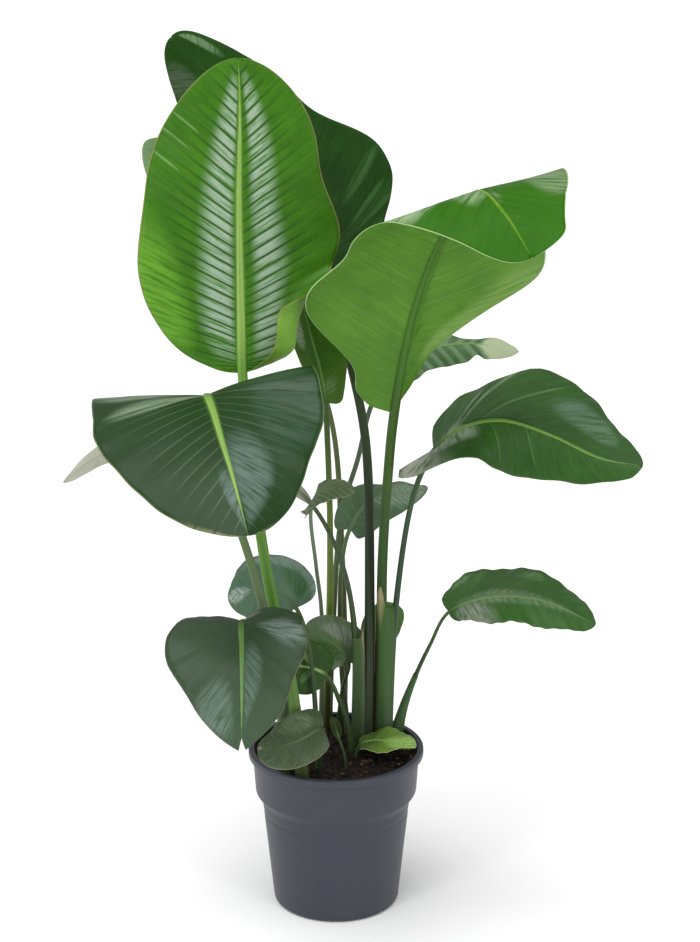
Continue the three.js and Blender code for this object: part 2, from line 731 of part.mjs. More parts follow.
function potProfile() {
  const step = POT.height - POT.collarHeight - POT.stepHeight;
  const lip = POT.height - POT.lipHeight;
  const groove = step - GROOVE.below;
  const bodyRadius = (z) => POT.baseRadius + ((POT.bodyTopRadius - POT.baseRadius) * z) / step;
  const outside = [
    [0, 0],
    [POT.baseRadius - POT.baseChamfer, 0],
    [bodyRadius(POT.baseChamfer), POT.baseChamfer],
    [bodyRadius(groove - GROOVE.height), groove - GROOVE.height],
    [bodyRadius(groove) - GROOVE.depth, groove],
    [bodyRadius(groove + GROOVE.height), groove + GROOVE.height],
    [POT.bodyTopRadius, step],
    [POT.collarBottomRadius, POT.height - POT.collarHeight],
    [POT.collarTopRadius, lip],
    [POT.lipRadius - POT.lipRound, lip],
    [POT.lipRadius, lip + POT.lipRound],
    [POT.lipRadius, POT.height - POT.lipRound],
    [POT.lipRadius - POT.lipRound, POT.height],
  ];
  return [...outside, ...innerWall(0).reverse(), [0, POT.floor]];
}

function potMesh() {
  let pot = solidOf(turned(potProfile()));
  for (let i = 0; i < DRAIN.holes; i++) {
    const angle = (i * 2 * Math.PI) / DRAIN.holes;
    const hole = new THREE.CylinderGeometry(DRAIN.radius, DRAIN.radius, 4 * POT.floor, DRAIN.sides)
      .rotateX(Math.PI / 2)
      .translate(DRAIN.circle * Math.cos(angle), DRAIN.circle * Math.sin(angle), POT.floor / 2);
    pot = pot.subtract(solidOf(hole));
  }
  for (let i = 0; i < NOTCH.count; i++) {
    const notch = new THREE.BoxGeometry(2 * NOTCH.depth, NOTCH.width, 2 * NOTCH.height)
      .translate(POT.baseRadius, 0, 0)
      .rotateZ(((i + 0.5) * 2 * Math.PI) / NOTCH.count);
    pot = pot.subtract(solidOf(notch));
  }
  return named("pot", geometryOfSolid(pot), POT.color, PLASTIC_ROUGHNESS);
}

// The height of the compost at a place: low, broad bumps.
function soilTop(x, y) {
  const [across, deep, slanted] = SOIL.bumpLengths.map((length) => (2 * Math.PI) / length);
  const waves = Math.sin(x * across + 1) * Math.cos(y * deep) + Math.sin((x + y) * slanted);
  return SOIL.top + SOIL.bump * waves;
}

function soilMesh() {
  const wall = innerWall(GAP);
  const [below, above] = wall.slice(-2);
  const edge = SOIL.top - SOIL.edgeDrop - 2 * SOIL.bump;
  const share = (edge - below[1]) / (above[1] - below[1]);
  const rim = below[0] + (above[0] - below[0]) * share;
  const profile = [[0, POT.floor + GAP], ...wall.slice(0, -1), [rim, edge]];
  for (let i = SOIL.rings - 1; i > 0; i--) profile.push([(rim * i) / SOIL.rings, SOIL.top]);
  profile.push([0, SOIL.top]);
  const geometry = turned(profile);
  const place = geometry.getAttribute("position");
  for (let i = 0; i < place.count; i++) {
    if (place.getZ(i) > edge + GAP) place.setZ(i, soilTop(place.getX(i), place.getY(i)));
  }
  let soil = solidOf(geometry);
  for (const leaf of LEAVES) soil = soil.subtract(stalkHole(leaf));
  return named("soil", geometryOfSolid(soil), SOIL.color, SOIL_ROUGHNESS);
}

const plant = new THREE.Group();
plant.add(potMesh(), soilMesh());
for (const leaf of LEAVES) plant.add(leafMesh(leaf));

export default plant;
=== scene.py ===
"""A young bird of paradise in a plastic nursery pot.

The leaves are grown again from the numbers of their solids, with many more rows, so each fine
leaf lies where its solid does. Lengths are in millimetres until a mesh is made.
"""

import itertools
import math
import random

import bpy
import numpy as np
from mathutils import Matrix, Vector


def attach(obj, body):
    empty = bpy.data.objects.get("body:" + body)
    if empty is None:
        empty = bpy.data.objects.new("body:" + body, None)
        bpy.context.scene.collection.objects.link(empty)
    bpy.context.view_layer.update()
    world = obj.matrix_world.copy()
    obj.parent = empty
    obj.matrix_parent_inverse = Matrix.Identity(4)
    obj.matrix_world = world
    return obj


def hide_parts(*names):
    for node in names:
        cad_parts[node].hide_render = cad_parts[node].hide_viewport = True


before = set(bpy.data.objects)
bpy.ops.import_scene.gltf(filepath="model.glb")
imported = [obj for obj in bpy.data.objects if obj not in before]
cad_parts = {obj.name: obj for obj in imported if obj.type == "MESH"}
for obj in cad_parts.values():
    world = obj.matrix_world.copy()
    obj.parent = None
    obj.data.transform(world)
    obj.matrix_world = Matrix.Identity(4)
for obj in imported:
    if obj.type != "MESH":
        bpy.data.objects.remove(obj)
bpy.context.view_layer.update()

MM = 0.001
SOIL_TOP = 211

# Each leaf grew as one piece: a stalk from the compost, then a rib with the blade on both sides.
#   stalk, rib    points of the centre line; the rib starts at the foot of the blade
#   stalk_radius  at the compost and at the foot of the blade
#   half_width    the widest of the blade, left and right of the rib, seen from its upper face
#   widest        where that is, as a share of the rib's length
#   ends          how round (under 1) or pointed (over 1) the blade is at its foot and its tip
#   lobe          how far each half of the blade reaches back past its foot
#   veins         angle between the veins and the rib, in degrees, at the foot, middle and tip
#   face          the way the upper face looks at the foot, middle and tip
#   lift          how far each half is folded up from flat, in degrees, (left, right) at the
#                 foot, middle and tip; curl adds to it evenly towards the margin
#   roll          how far the outer part of each half is rolled over, at the foot and the tip
#   wave          height of the margin's waves, how many there are, and where they start
#   cut           the share of the outline that is left before a split tip
#   fine          more columns for a large blade
#   swells        places where the margin swells out, or draws in (a share below 0):
#                 (half (0 left, 1 right), place, spread, share of the width)
LEAF = dict(
    widest=(0.4, 0.4), lobe=(4, 4), veins=(98, 60, 36), curl=[(0, 0), (-10, -10), (-10, -10)],
    roll=[(0, 0), (0, 0)], wave=(2, 3, 0), cut=0.997, fine=False, swells=[],
)
GROWN = {
    "leaf_01": dict(
        stalk=[(-42, -78, 186), (-60, -72, 350), (-88, -62, 488), (-108, -52, 635)],
        rib=[(-119, -41, 762), (-121, -22, 853), (-122, -6, 980), (-120, 6, 1092), (-121, 12, 1157)],
        stalk_radius=(10, 6.5), half_width=(134, 132), widest=(0.42, 0.42), ends=(1.35, 1.1), lobe=(0, 0),
        veins=(85, 62, 40), face=[(0, -1, 0.1), (0, -1, 0.1), (0, -1, 0.15)],
        lift=[(12, 0), (4, 4), (0, 0)], curl=[(0, 0), (-6, -8), (-10, -10)], roll=[(0, 155), (0, 0)],
        wave=(4, 3, 0), fine=True,
        swells=[
            (0, 0.56, 0.09, -0.06), (0, 0.14, 0.06, -0.1), (1, 0.63, 0.08, -0.12), (1, 0.44, 0.05, -0.1),
            (1, 0.22, 0.08, 0.3),
        ],
    ),
    "leaf_02": dict(
        stalk=[(43, 24, 186), (46, 36, 422), (40, 62, 643), (19, 85, 748)],
        rib=[(-9, 114, 858), (-53, 135, 950), (-105, 148, 1035), (-162, 150, 1112), (-216, 140, 1170)],
        stalk_radius=(8.3, 6), half_width=(105, 142), widest=(0.3, 0.22), ends=(2.4, 1), lobe=(10, 15),
        veins=(95, 66, 40), face=[(0.3, -1, 0.4), (0.1, -1, 0.5), (0, -1, 0.5)],
        lift=[(8, 8), (0, 0), (0, -10)], curl=[(0, 0), (-10, -10), (-10, -30)], wave=(4, 3, 1), fine=True,
        swells=[
            (1, 0.82, 0.14, -0.2), (1, 0.66, 0.06, -0.19), (1, 0.57, 0.06, 0.08), (1, 0.5, 0.03, 0.03),
            (1, 0.38, 0.08, -0.22),
        ],
    ),
    "leaf_03": dict(
        stalk=[(-64, -64, 186), (-78, -80, 369), (-103, -92, 498), (-133, -104, 610), (-154, -114, 712)],
        rib=[(-159, -140, 757), (-148, -200, 756), (-134, -265, 736), (-117, -330, 706), (-98, -389, 657)],
        stalk_radius=(8, 5), half_width=(138, 150), widest=(0.32, 0.32), ends=(0.85, 1.35), lobe=(86, 74),
        veins=(105, 65, 38), face=[(0, 0, 1), (0, -0.3, 1), (0, -0.6, 1)],
        lift=[(45, 10), (12, 0), (-20, -10)], curl=[(0, 0), (-20, -10), (-20, -10)], wave=(4, 3, 2),
        fine=True,
        swells=[
            (0, 0.34, 0.07, 0.1), (0, 0.67, 0.14, -0.14), (1, 0.32, 0.07, 0.08), (1, 0.68, 0.13, -0.08),
        ],
    ),
    "leaf_04": dict(
        stalk=[(60, 30, 186), (62, 28, 352), (63, 22, 485), (69, 8, 602)],
        rib=[
            (77, -10, 700), (101, -40, 844), (131, -90, 944), (172, -175, 1021), (201, -235, 1002),
            (231, -275, 958),
        ],
        stalk_radius=(8.3, 6.5), half_width=(145, 158), widest=(0.5, 0.3), ends=(3, 0.9), lobe=(0, 0),
        veins=(90, 62, 40), face=[(0.1, 1, 0), (-0.25, 0.6, 0.8), (-0.2, -0.6, 1)],
        lift=[(55, -10), (0, -4), (10, 0)], curl=[(0, 0), (0, 0), (0, 0)], wave=(3, 2, 1), fine=True,
        swells=[
            (1, 0.35, 0.1, -0.5), (1, 0.24, 0.05, -0.16), (1, 0.58, 0.05, -0.16), (1, 0.74, 0.08, 0.2),
            (0, 0.25, 0.1, -0.45), (0, 0.43, 0.06, 0.2), (0, 0.92, 0.06, 0.3),
        ],
    ),
    "leaf_05": dict(
        stalk=[(70, 46, 186), (82, 40, 422), (102, 20, 572), (118, 10, 622)],
        rib=[
            (130, 2, 646), (165, -15, 681), (216, -35, 697), (280, -60, 683), (339, -80, 659),
            (393, -95, 653),
        ],
        stalk_radius=(7.8, 4.5), half_width=(126, 60), widest=(0.45, 0.45), ends=(1.15, 1.15),
        lobe=(10, 66), veins=(105, 60, 36), face=[(0, -0.3, 1), (0, -0.4, 1), (0, -0.4, 1)],
        lift=[(10, 110), (0, -25), (-10, -10)], curl=[(0, 0), (-10, -20), (-10, -10)], wave=(4, 3, 0),
        fine=True,
        swells=[
            (0, 0.1, 0.05, 0.4), (0, 0.36, 0.05, -0.11), (0, 0.48, 0.05, 0.08), (0, 0.6, 0.08, 0.1),
            (1, 0.12, 0.08, 0.3), (1, 0.3, 0.05, 0.2), (1, 0.4, 0.05, 0.1), (1, 0.47, 0.07, 0.12),
            (1, 0.58, 0.06, 0.04), (1, 0.8, 0.08, -0.25),
        ],
    ),
    "leaf_06": dict(
        stalk=[(84, 50, 186), (91, 58, 240), (108, 66, 295), (130, 66, 347)],
        rib=[(155, 61, 397), (210, 50, 423), (282, 35, 423), (353, 20, 394)], stalk_radius=(7, 2.6),
        half_width=(62, 42), widest=(0.38, 0.45), ends=(0.95, 1.1), lobe=(6, 2), veins=(100, 58, 35),
        face=[(0, -0.4, 1), (0, -0.5, 1), (0, -0.5, 1)], lift=[(10, 0), (0, -10), (-10, -10)],
        wave=(4, 4, 0),
    ),
    "leaf_07": dict(
        stalk=[(-48, -44, 186), (-62, -46, 290), (-92, -70, 395)],
        rib=[
            (-119, -130, 455), (-118, -180, 435), (-117, -215, 395), (-117, -235, 338), (-116, -240, 320),
        ],
        stalk_radius=(6, 4), half_width=(92, 100), widest=(0.3, 0.33), ends=(0.8, 1.9), lobe=(20, 9),
        veins=(100, 60, 10), face=[(0, -0.3, 1), (0, -0.9, 0.8), (0, -1, 0.3)],
        lift=[(60, 15), (-8, -5), (0, 0)], curl=[(-10, -10), (-10, -10), (-10, -10)], wave=(3, 3, 1),
        cut=0.94,
        swells=[(0, 0.24, 0.06, 0.22), (0, 0.6, 0.14, -0.2), (1, 0.33, 0.1, 0.1), (1, 0.65, 0.12, -0.13)],
    ),
    "leaf_08": dict(
        stalk=[(-26, -42, 186), (-28, -30, 300), (-38, -22, 390)],
        rib=[(-53, -15, 431), (-70, -10, 447), (-97, -3, 453), (-146, 14, 434)], stalk_radius=(5, 3),
        half_width=(45, 52), ends=(0.9, 1.1), lobe=(2, 4),
        face=[(0, -0.8, 0.6), (0, -0.8, 0.6), (0, -0.8, 0.6)], lift=[(0, 20), (0, 5), (0, 0)],
        wave=(3, 3, 0),
    ),
    "leaf_09": dict(
        stalk=[(-22, -72, 186), (-20, -74, 240), (-14, -80, 275)],
        rib=[(-18, -92, 290), (-45, -112, 283), (-75, -120, 275), (-103, -112, 270)],
        stalk_radius=(4.5, 2.6), half_width=(34, 36), widest=(0.42, 0.36), ends=(0.85, 0.95), lobe=(4, 8),
        face=[(0, -0.7, 0.7), (0, -0.8, 0.6), (0, -0.7, 0.7)], lift=[(0, 30), (0, 5), (0, 0)],
    ),
    "leaf_10": dict(
        stalk=[(24, 8, 186), (16, 12, 250), (4, 10, 289)],
        rib=[(-14, -2, 330), (-40, -14, 346), (-62, -24, 350), (-86, -32, 342)], stalk_radius=(8, 3),
        half_width=(38, 38), widest=(0.42, 0.42), ends=(0.85, 1), lobe=(6, 4),
        face=[(0.2, -0.8, 0.6), (0, -0.9, 0.5), (0, -0.9, 0.5)], lift=[(0, 15), (0, 5), (0, 0)],
    ),
    "leaf_11": dict(
        stalk=[(2, 54, 186), (4, 53, 250), (9, 49, 290)],
        rib=[(18, 42, 330), (6, 37, 352), (-15, 32, 369), (-42, 24, 388)], stalk_radius=(4, 2.4),
        half_width=(34, 40), widest=(0.4, 0.35), ends=(0.9, 1),
        face=[(0, -0.5, 0.8), (0, -0.5, 0.8), (0, -0.5, 0.8)], lift=[(0, 30), (0, 20), (0, 0)],
        curl=[(0, 0), (-10, 10), (-10, 0)],
    ),
    "leaf_12": dict(
        stalk=[(18, 74, 186), (6, 90, 337), (8, 98, 456)],
        rib=[(19, 110, 501), (44, 116, 537), (85, 122, 551), (127, 126, 556)], stalk_radius=(5, 3),
        half_width=(32, 36), widest=(0.35, 0.35), ends=(0.85, 1.3), lobe=(10, 10), veins=(100, 60, 36),
        face=[(0, -1, 0.3), (0, -1, 0.4), (0, -1, 0.4)], lift=[(10, 10), (0, 0), (0, 0)],
        swells=[(0, 0.62, 0.1, -0.45), (0, 0.82, 0.12, -0.6), (1, 0.2, 0.1, -0.15)],
    ),
    "leaf_13": dict(
        stalk=[(-22, 60, 186), (-20, 62, 391), (-27, 28, 478)],
        rib=[(-33, -4, 562), (-27, -15, 588), (-5, -21, 600), (27, -25, 600)], stalk_radius=(4.5, 3),
        half_width=(26, 30), widest=(0.4, 0.35), ends=(0.9, 1.2),
        face=[(-0.3, -0.3, 1), (0, -0.3, 1), (0, -0.3, 1)], lift=[(10, 40), (0, 10), (0, 0)],
        swells=[(0, 0.66, 0.15, 0.32), (1, 0.28, 0.1, -0.45), (1, 0.68, 0.08, 0.15)],
    ),
    "leaf_14": dict(
        stalk=[(-12, 92, 186), (-6, 120, 335), (8, 134, 516), (30, 134, 595), (50, 134, 675)],
        rib=[(76, 136, 715), (120, 138, 748), (185, 142, 757), (250, 145, 745)], stalk_radius=(6, 3.5),
        half_width=(30, 30), ends=(0.9, 1.3), lobe=(6, 6),
        face=[(-0.3, -0.6, 0.8), (0, -0.7, 0.8), (0, -0.7, 0.8)], lift=[(20, 0), (10, -10), (0, 0)],
        swells=[(0, 0.64, 0.12, -0.7), (0, 0.84, 0.05, -0.2), (1, 0.3, 0.08, 0.3), (1, 0.67, 0.03, -0.3)],
    ),
    "leaf_15": dict(
        stalk=[(-16, 76, 186), (-10, 82, 347), (-8, 74, 511), (-11, 60, 640)],
        rib=[(-14, 50, 698), (-22, 52, 745), (-36, 56, 800), (-49, 62, 862)], stalk_radius=(6.5, 4),
        half_width=(40, 46), ends=(0.85, 1.1), lobe=(8, 8),
        face=[(0.3, -1, 0.3), (0.3, -1, 0.3), (0.3, -1, 0.3)], lift=[(60, 10), (40, 0), (0, 0)],
        curl=[(0, 0), (0, 0), (0, 0)], swells=[(1, 0.3, 0.15, -0.22)],
    ),
    "leaf_16": dict(
        stalk=[(4, 96, 186), (10, 100, 240), (8, 140, 449), (-6, 160, 640), (-44, 176, 748)],
        rib=[(-74, 185, 800), (-130, 200, 880), (-200, 212, 960), (-260, 215, 1022)],
        stalk_radius=(6, 3.5), half_width=(60, 70), ends=(0.9, 1.2), lobe=(6, 6),
        face=[(0.2, -1, 0.3), (0.1, -1, 0.3), (0, -1, 0.3)], lift=[(5, 5), (0, 0), (0, 0)],
    ),
    "leaf_17": dict(
        stalk=[(27, 30, 186), (25, 24, 389), (8, 20, 483)],
        rib=[
            (-26, 22, 556), (-60, 26, 590), (-150, 28, 636), (-250, 18, 654), (-318, 8, 634),
            (-360, 0, 602),
        ],
        stalk_radius=(8, 3), half_width=(26, 28), widest=(0.5, 0.5), ends=(2.4, 1.2),
        face=[(0, 1, 0.4), (0, 1, 0.3), (0, 1, 0.3)], lift=[(5, 5), (0, 10), (0, 0)],
        curl=[(0, 0), (0, 0), (0, 0)], wave=(3, 3, 0), swells=[(0, 0.84, 0.14, -0.4)],
    ),
    "leaf_18": dict(
        stalk=[(46, 66, 186), (50, 78, 270)], rib=[(56, 86, 340), (68, 92, 368), (90, 94, 392)],
        stalk_radius=(4, 2.4), half_width=(30, 24), widest=(0.42, 0.4), ends=(0.9, 1),
        face=[(0, -1, 0.4), (0, -1, 0.4), (0, -1, 0.4)], lift=[(5, 5), (0, 0), (0, 0)],
        curl=[(0, 0), (0, 0), (0, 0)],
    ),
    "leaf_19": dict(
        stalk=[(26, -8, 186), (27, -4, 214)],
        rib=[(33, -2, 227), (52, -12, 238), (71, -22, 241), (108, -38, 238)], stalk_radius=(4.5, 2.6),
        half_width=(28, 28), widest=(0.45, 0.45), ends=(0.9, 1), lobe=(2, 2),
        face=[(0, -0.2, 1), (0, -0.2, 1), (0, -0.2, 1)], lift=[(5, 0), (5, 0), (0, 0)],
        curl=[(0, 0), (0, 0), (0, 0)], roll=[(0, 0), (0, 130)],
    ),
    "leaf_20": dict(
        stalk=[(15, -42, 186), (12, -38, 225)], rib=[(4, -32, 250), (0, -28, 264), (-6, -24, 278)],
        stalk_radius=(2.6, 1.8), half_width=(7, 7), widest=(0.45, 0.45), ends=(1, 1.2), lobe=(0, 0),
        veins=(90, 60, 36), face=[(0, -1, 0.3), (0, -1, 0.3), (0, -1, 0.3)],
        lift=[(10, 10), (5, 5), (0, 0)], curl=[(0, 0), (0, 0), (0, 0)], wave=(1, 2, 0),
    ),
}
LEAVES = {name: {**LEAF, **leaf} for name, leaf in GROWN.items()}

# How each leaf looks. Colours are in hexadecimal.
#   upper, lower  two greens that mix over each face
#   rib           the rib above and below
#   stalk         at the compost, half way and at the foot of the blade
#   margin        the thin edge
#   creases       how many side veins show, and how deep they are pressed
#    vein          how strongly painted shade darkens the creases of the side veins (or, below 0,
#                  how much paler they are, partly their own colour and partly a painted highlight),
#                  above and below
#   gloss         how strongly the upper face mirrors the light
#   stripes       how strongly each strip between two side veins differs from the next
#   tip           a dry or pale end: colour, where it sets in along the outline, strength
#    glare         painted highlights, pale bands of glare beside the rib: strength, colour, then
#                  for the left and the right half where across the blade they begin and end
#    patches       soft spots on the upper face, mostly painted highlights, reflections and
#                  shade, some of them the leaf's own colour: colour, strength, place across (-1 left
#                  margin, 1 right margin), place along the outline, half width, half length;
#                  under_patches are on the lower face
LOOK = dict(
    lower=("536c3e", "445e34"), rib=("5c8440", "4c6a38"), stalk=("3c4a29", "314625", "3e5829"),
    margin="6a7448", creases=(24, 0.25), vein=(0.3, 0.2), gloss=0.2, stripes=0.0, tip=None,
    glare=None, patches=(), under_patches=(),
)
LOOKS = {
    "leaf_01": dict(
        upper=("3b7208", "2d5e05"), lower=("608d2b", "6f9c33"), rib=("86a850", "6f9a3a"),
        stalk=("4f6135", "55822d", "669336"), margin="84854a", creases=(31, 0.6), vein=(0.85, 0.3),
        glare=(0.82, "9cb09c", (0.05, 0.38), (0.15, 0.44)),
        patches=(
            ("72ac34", 0.55, -0.9, 0.4, 0.4, 0.16), ("a8c488", 0.4, -0.8, 0.76, 0.2, 0.003),
            ("a8c488", 0.35, -0.84, 0.72, 0.2, 0.003), ("a8c488", 0.3, -0.88, 0.67, 0.2, 0.003),
        ),
    ),
    "leaf_02": dict(
        upper=("1f490a", "163a07"), lower=("344c27", "293f21"), rib=("24441a", "24401c"),
        stalk=("2a3821", "24331b", "2a3f1c"), margin="2f4a26", creases=(32, 0.2), vein=(0.15, 0.3),
        gloss=0.15,
        patches=(
            ("7c9c74", 0.7, 0.74, 0.9, 0.15, 0.07), ("5a6856", 0.7, -0.7, 0.84, 0.4, 0.06),
            ("4f7a44", 0.45, 0.7, 0.56, 0.3, 0.012), ("4f7a44", 0.45, 0.6, 0.51, 0.3, 0.01),
            ("4f7a44", 0.4, 0.75, 0.46, 0.3, 0.012),
        ),
    ),
    "leaf_03": dict(
        upper=("173310", "1d3817"), lower=("5c7048", "6a7c58"), rib=("7ea44c", "5c7a3c"),
        stalk=("445737", "53663f", "53763b"), margin="66784e", creases=(22, 0.3), vein=(-0.15, 0.3),
        patches=(
            ("6a7f78", 0.65, -0.32, 0.8, 0.34, 0.15), ("506a5c", 0.3, -0.7, 0.5, 0.35, 0.2),
            ("6a7f78", 0.6, 0.16, 0.88, 0.14, 0.08), ("7c9074", 0.85, 0.4, 0.42, 0.5, 0.05),
            ("7c9074", 0.75, 0.6, 0.34, 0.4, 0.03), ("6f7450", 1.0, 1.04, 0.91, 0.12, 0.13),
            ("6f7450", 1.0, -1.04, 0.95, 0.12, 0.1),
        ),
    ),
    "leaf_04": dict(
        upper=("255b00", "2d6301"), lower=("4f801c", "416e18"), rib=("629018", "3a6614"),
        stalk=("212f10", "23420f", "345410"), margin="a4be88", creases=(30, 0.2), vein=(0.15, -0.08),
        gloss=0.08,
        patches=(
            ("a4b894", 0.7, 0.75, 0.74, 0.35, 0.04), ("a4b894", 0.5, 0.15, 0.81, 0.3, 0.04),
            ("8a9a7a", 0.6, -0.85, 0.72, 0.3, 0.06),
        ),
        under_patches=(("86a45c", 0.6, -0.8, 0.36, 0.4, 0.12),),
    ),
    "leaf_05": dict(
        upper=("2e551c", "244717"), lower=("878b6e", "797e65"), rib=("678c38", "5c7a3c"),
        stalk=("2f462c", "28442b", "314d29"), margin="4c6a3a", creases=(14, 0.15), vein=(-0.03, 0.3),
        patches=(
            ("68846e", 0.6, -0.68, 0.72, 0.25, 0.12), ("8a9a84", 0.85, 0.12, 0.35, 0.35, 0.09),
            ("7c8c74", 0.7, -0.5, 0.42, 0.6, 0.02), ("7c8c74", 0.6, -0.4, 0.37, 0.5, 0.012),
            ("6f8c64", 0.5, -0.45, 0.56, 0.45, 0.008), ("5a8048", 0.5, 0.45, 0.49, 0.45, 0.004),
            ("5a8048", 0.5, 0.4, 0.6, 0.4, 0.004), ("aeb0a2", 1.0, 0.9, 0.14, 0.95, 0.2),
        ),
    ),
    "leaf_06": dict(
        upper=("315f19", "285313"), lower=("4e6738", "40592e"), rib=("6f8c58", "4c6a38"),
        creases=(20, 0.1), vein=(0.1, 0.2), gloss=0.35,
        patches=(
            ("7c9474", 0.6, 0.02, 0.6, 0.28, 0.3), ("868e82", 0.9, 0.6, 0.32, 0.6, 0.14),
            ("86ac78", 0.4, -0.8, 0.32, 0.15, 0.05), ("86ac78", 0.25, -0.78, 0.61, 0.15, 0.05),
        ),
    ),
    "leaf_07": dict(
        upper=("2c442a", "364d34"), lower=("5c7542", "4e6738"), rib=("668c48", "567440"), margin="6f7450",
        creases=(18, 0.2), vein=(0.12, 0.3), gloss=0.3,
        patches=(
            ("86948e", 0.7, -0.65, 0.38, 0.4, 0.12), ("6c8276", 0.6, 0.7, 0.78, 0.4, 0.1),
            ("6c8276", 0.6, -0.25, 0.74, 0.22, 0.16), ("a09e94", 0.7, 0.0, 0.08, 0.8, 0.08),
            ("9c9478", 0.9, 0.55, 0.96, 0.5, 0.03),
        ),
    ),
    "leaf_08": dict(
        upper=("42604a", "567058"), lower=("5c7553", "4e6746"), rib=("50684a", "4c6a38"),
        creases=(18, 0.2), vein=(0.12, 0.3),
        patches=(
            ("28521e", 0.9, 0.5, 0.42, 0.35, 0.13), ("a8b2ae", 0.9, 0.0, 0.94, 0.8, 0.12),
            ("8a9a94", 0.5, 0.9, 0.45, 0.2, 0.3),
        ),
    ),
    "leaf_09": dict(
        upper=("374a2d", "54634a"), lower=("5c7553", "4e6746"), rib=("51663c", "4c6a38"),
        stalk=("2c311f", "242e1c", "2e3a1f"), margin="a8a482", creases=(14, 0.15), vein=(0.1, 0.2),
        patches=(
            ("74886c", 0.5, 0.6, 0.5, 0.4, 0.2), ("2c441f", 0.6, -0.3, 0.45, 0.5, 0.2),
            ("a29a7c", 0.7, 0.0, 0.98, 0.8, 0.03),
        ),
    ),
    "leaf_10": dict(
        upper=("2d5217", "254313"), lower=("4e673e", "405931"), rib=("86a860", "4c6a38"),
        creases=(12, 0.3), vein=(0.4, 0.2),
        patches=(
            ("86b068", 0.6, 0.5, 0.62, 0.35, 0.04), ("7a9c66", 0.6, -0.35, 0.6, 0.3, 0.05),
        ),
    ),
    "leaf_11": dict(
        upper=("5f6f58", "4c6a38"), lower=("537538", "44672e"), rib=("5c7a48", "4c6a38"), margin="8c9a74",
        creases=(16, 0.2), vein=(0.15, 0.2),
        patches=(
            ("8c9288", 0.8, 0.5, 0.62, 0.3, 0.2), ("264a18", 0.8, -0.4, 0.62, 0.35, 0.2),
        ),
    ),
    "leaf_12": dict(
        upper=("3f5d40", "546c4f"), lower=("5c6c55", "4e5f48"), rib=("5f7c58", "4c6a38"),
        stalk=("5c5c40", "5c623c", "58764c"), creases=(22, 0.3), stripes=0.3,
        patches=(("a0b0a0", 0.6, 0.0, 0.82, 1.0, 0.22),),
    ),
    "leaf_13": dict(
        upper=("445937", "697b58"), lower=("3a5232", "76866c"), stalk=("4b5439", "56664a", "62765a"),
        margin="919a82", creases=(22, 0.4), stripes=0.5,
    ),
    "leaf_14": dict(
        upper=("2f5028", "5f7c56"), lower=("3c5c30", "7a8a70"), stalk=("4f5c38", "4a5c38", "4a6046"),
        margin="a6a682", creases=(22, 0.4), stripes=0.6, tip=("9ca886", 0.72, 0.95),
    ),
    "leaf_15": dict(
        upper=("325a13", "44661c"), lower=("6f8060", "8c9a80"), stalk=("4d4d26", "677e29", "345016"),
        gloss=0.15,
        patches=(
            ("98a890", 0.9, -0.62, 0.68, 0.3, 0.1), ("6c8858", 0.6, 0.3, 0.36, 0.3, 0.06),
        ),
    ),
    "leaf_16": dict(
        upper=("7c9a6c", "6f8f60"), lower=("6f8357", "61754b"), stalk=("5c5c40", "5c623c", "4c6a30"),
        margin="42392a",
    ),
    "leaf_17": dict(
        upper=("5a6c4c", "4c6040"), lower=("a4aa94", "8f9880"), rib=("9c9e8c", "8f9880"),
        stalk=("383e22", "37492a", "394e2f"), margin="8a8468", tip=("a6a898", 0.66, 0.95),
        patches=(("6a5c34", 0.8, 0.2, 0.9, 0.5, 0.02),),
    ),
    "leaf_18": dict(upper=("6a8646", "4c6c38")),
    "leaf_19": dict(
        upper=("6c8c33", "5c7c2c"), lower=("6c9238", "5e852e"), rib=("84b058", "6c9238"), margin="c4cc98",
        creases=(14, 0.2), vein=(0.15, 0.2),
        patches=(
            ("3a4a2e", 0.95, 0.1, 0.28, 1.2, 0.36), ("a0c872", 0.8, 0.0, 0.85, 1.2, 0.22),
        ),
    ),
    "leaf_20": dict(
        upper=("263711", "304414"), lower=("3f5c24", "35521c"),
    ),
}

LINE_STEPS = 80  # samples of a centre line between two of its points
LOBE_SHARE = 0.4  # of the outline, over which a half reaches back past the blade's foot
ROLL_SPAN = (0.45, 0.9)  # where across a half its roll begins and is complete
FOOT_ROLL = (0.34, 0.46)  # where along the outline the roll at the foot fades out
TIP_ROLL = (0.6, 0.9)  # and where the one at the tip grows
SMALL_WAVES = (0.3, 3.7)  # height and count of the small waves on the large ones
TIP_RADIUS = 0.45
TIP_WIDTH = 1.4
FIRST_VEINS = 0.12  # keeps the veins at the foot from starting in one point
FIRST_ROW = 0.004  # of the outline
PROBES = 400  # rows that are measured to space the veins evenly
ROWS_PER_CREASE = 4
COLUMNS = (11, 18)  # across half a blade: a plain one and a fine one
COLUMN_POWER = 0.9  # brings the columns a little closer together at the margin
QUILT_SPAN = (0.02, 0.12, 0.55, 1.0)  # across a half: the quilting grows and fades again
QUILT_SHAPE = (0.8, 0.6)  # how full its swellings are, and which height lies in the blade
FULL_PITCH = 8  # veins that lie closer together than this are pressed in less
BLADE_THICKNESS = (0.9, 0.45)  # beside the rib and at the margin
STALK_SIDES = 20
STALK_STEP = 7
STALK_OVAL = 0.9
RIB_STEPS = 40
RIB_END = (0.985, 0.9)  # how far the rib goes in a whole blade and in one with a split tip
RIB_START = 0.12  # share of the rib over which the stalk turns into it
GROOVE_DEPTH = 0.3  # of a stalk's channel, as a share of its radius
RIB_GROOVE = 0.4  # how much of that is left on the rib
GROOVE_HALF = 0.5  # radians
RIB_ABOVE = 0.45  # how far the rib stands out of the upper face, as a share of its radius


def smoothstep(x, low, high):
    t = np.clip((x - low) / (high - low), 0, 1)
    return t * t * (3 - 2 * t)


def along(amounts, v):
    """A value that runs smoothly through its amounts at the foot, the middle and the tip."""
    foot, middle, tip = amounts
    return foot * (1 - v) * (1 - 2 * v) + 4 * middle * v * (1 - v) + tip * v * (2 * v - 1)


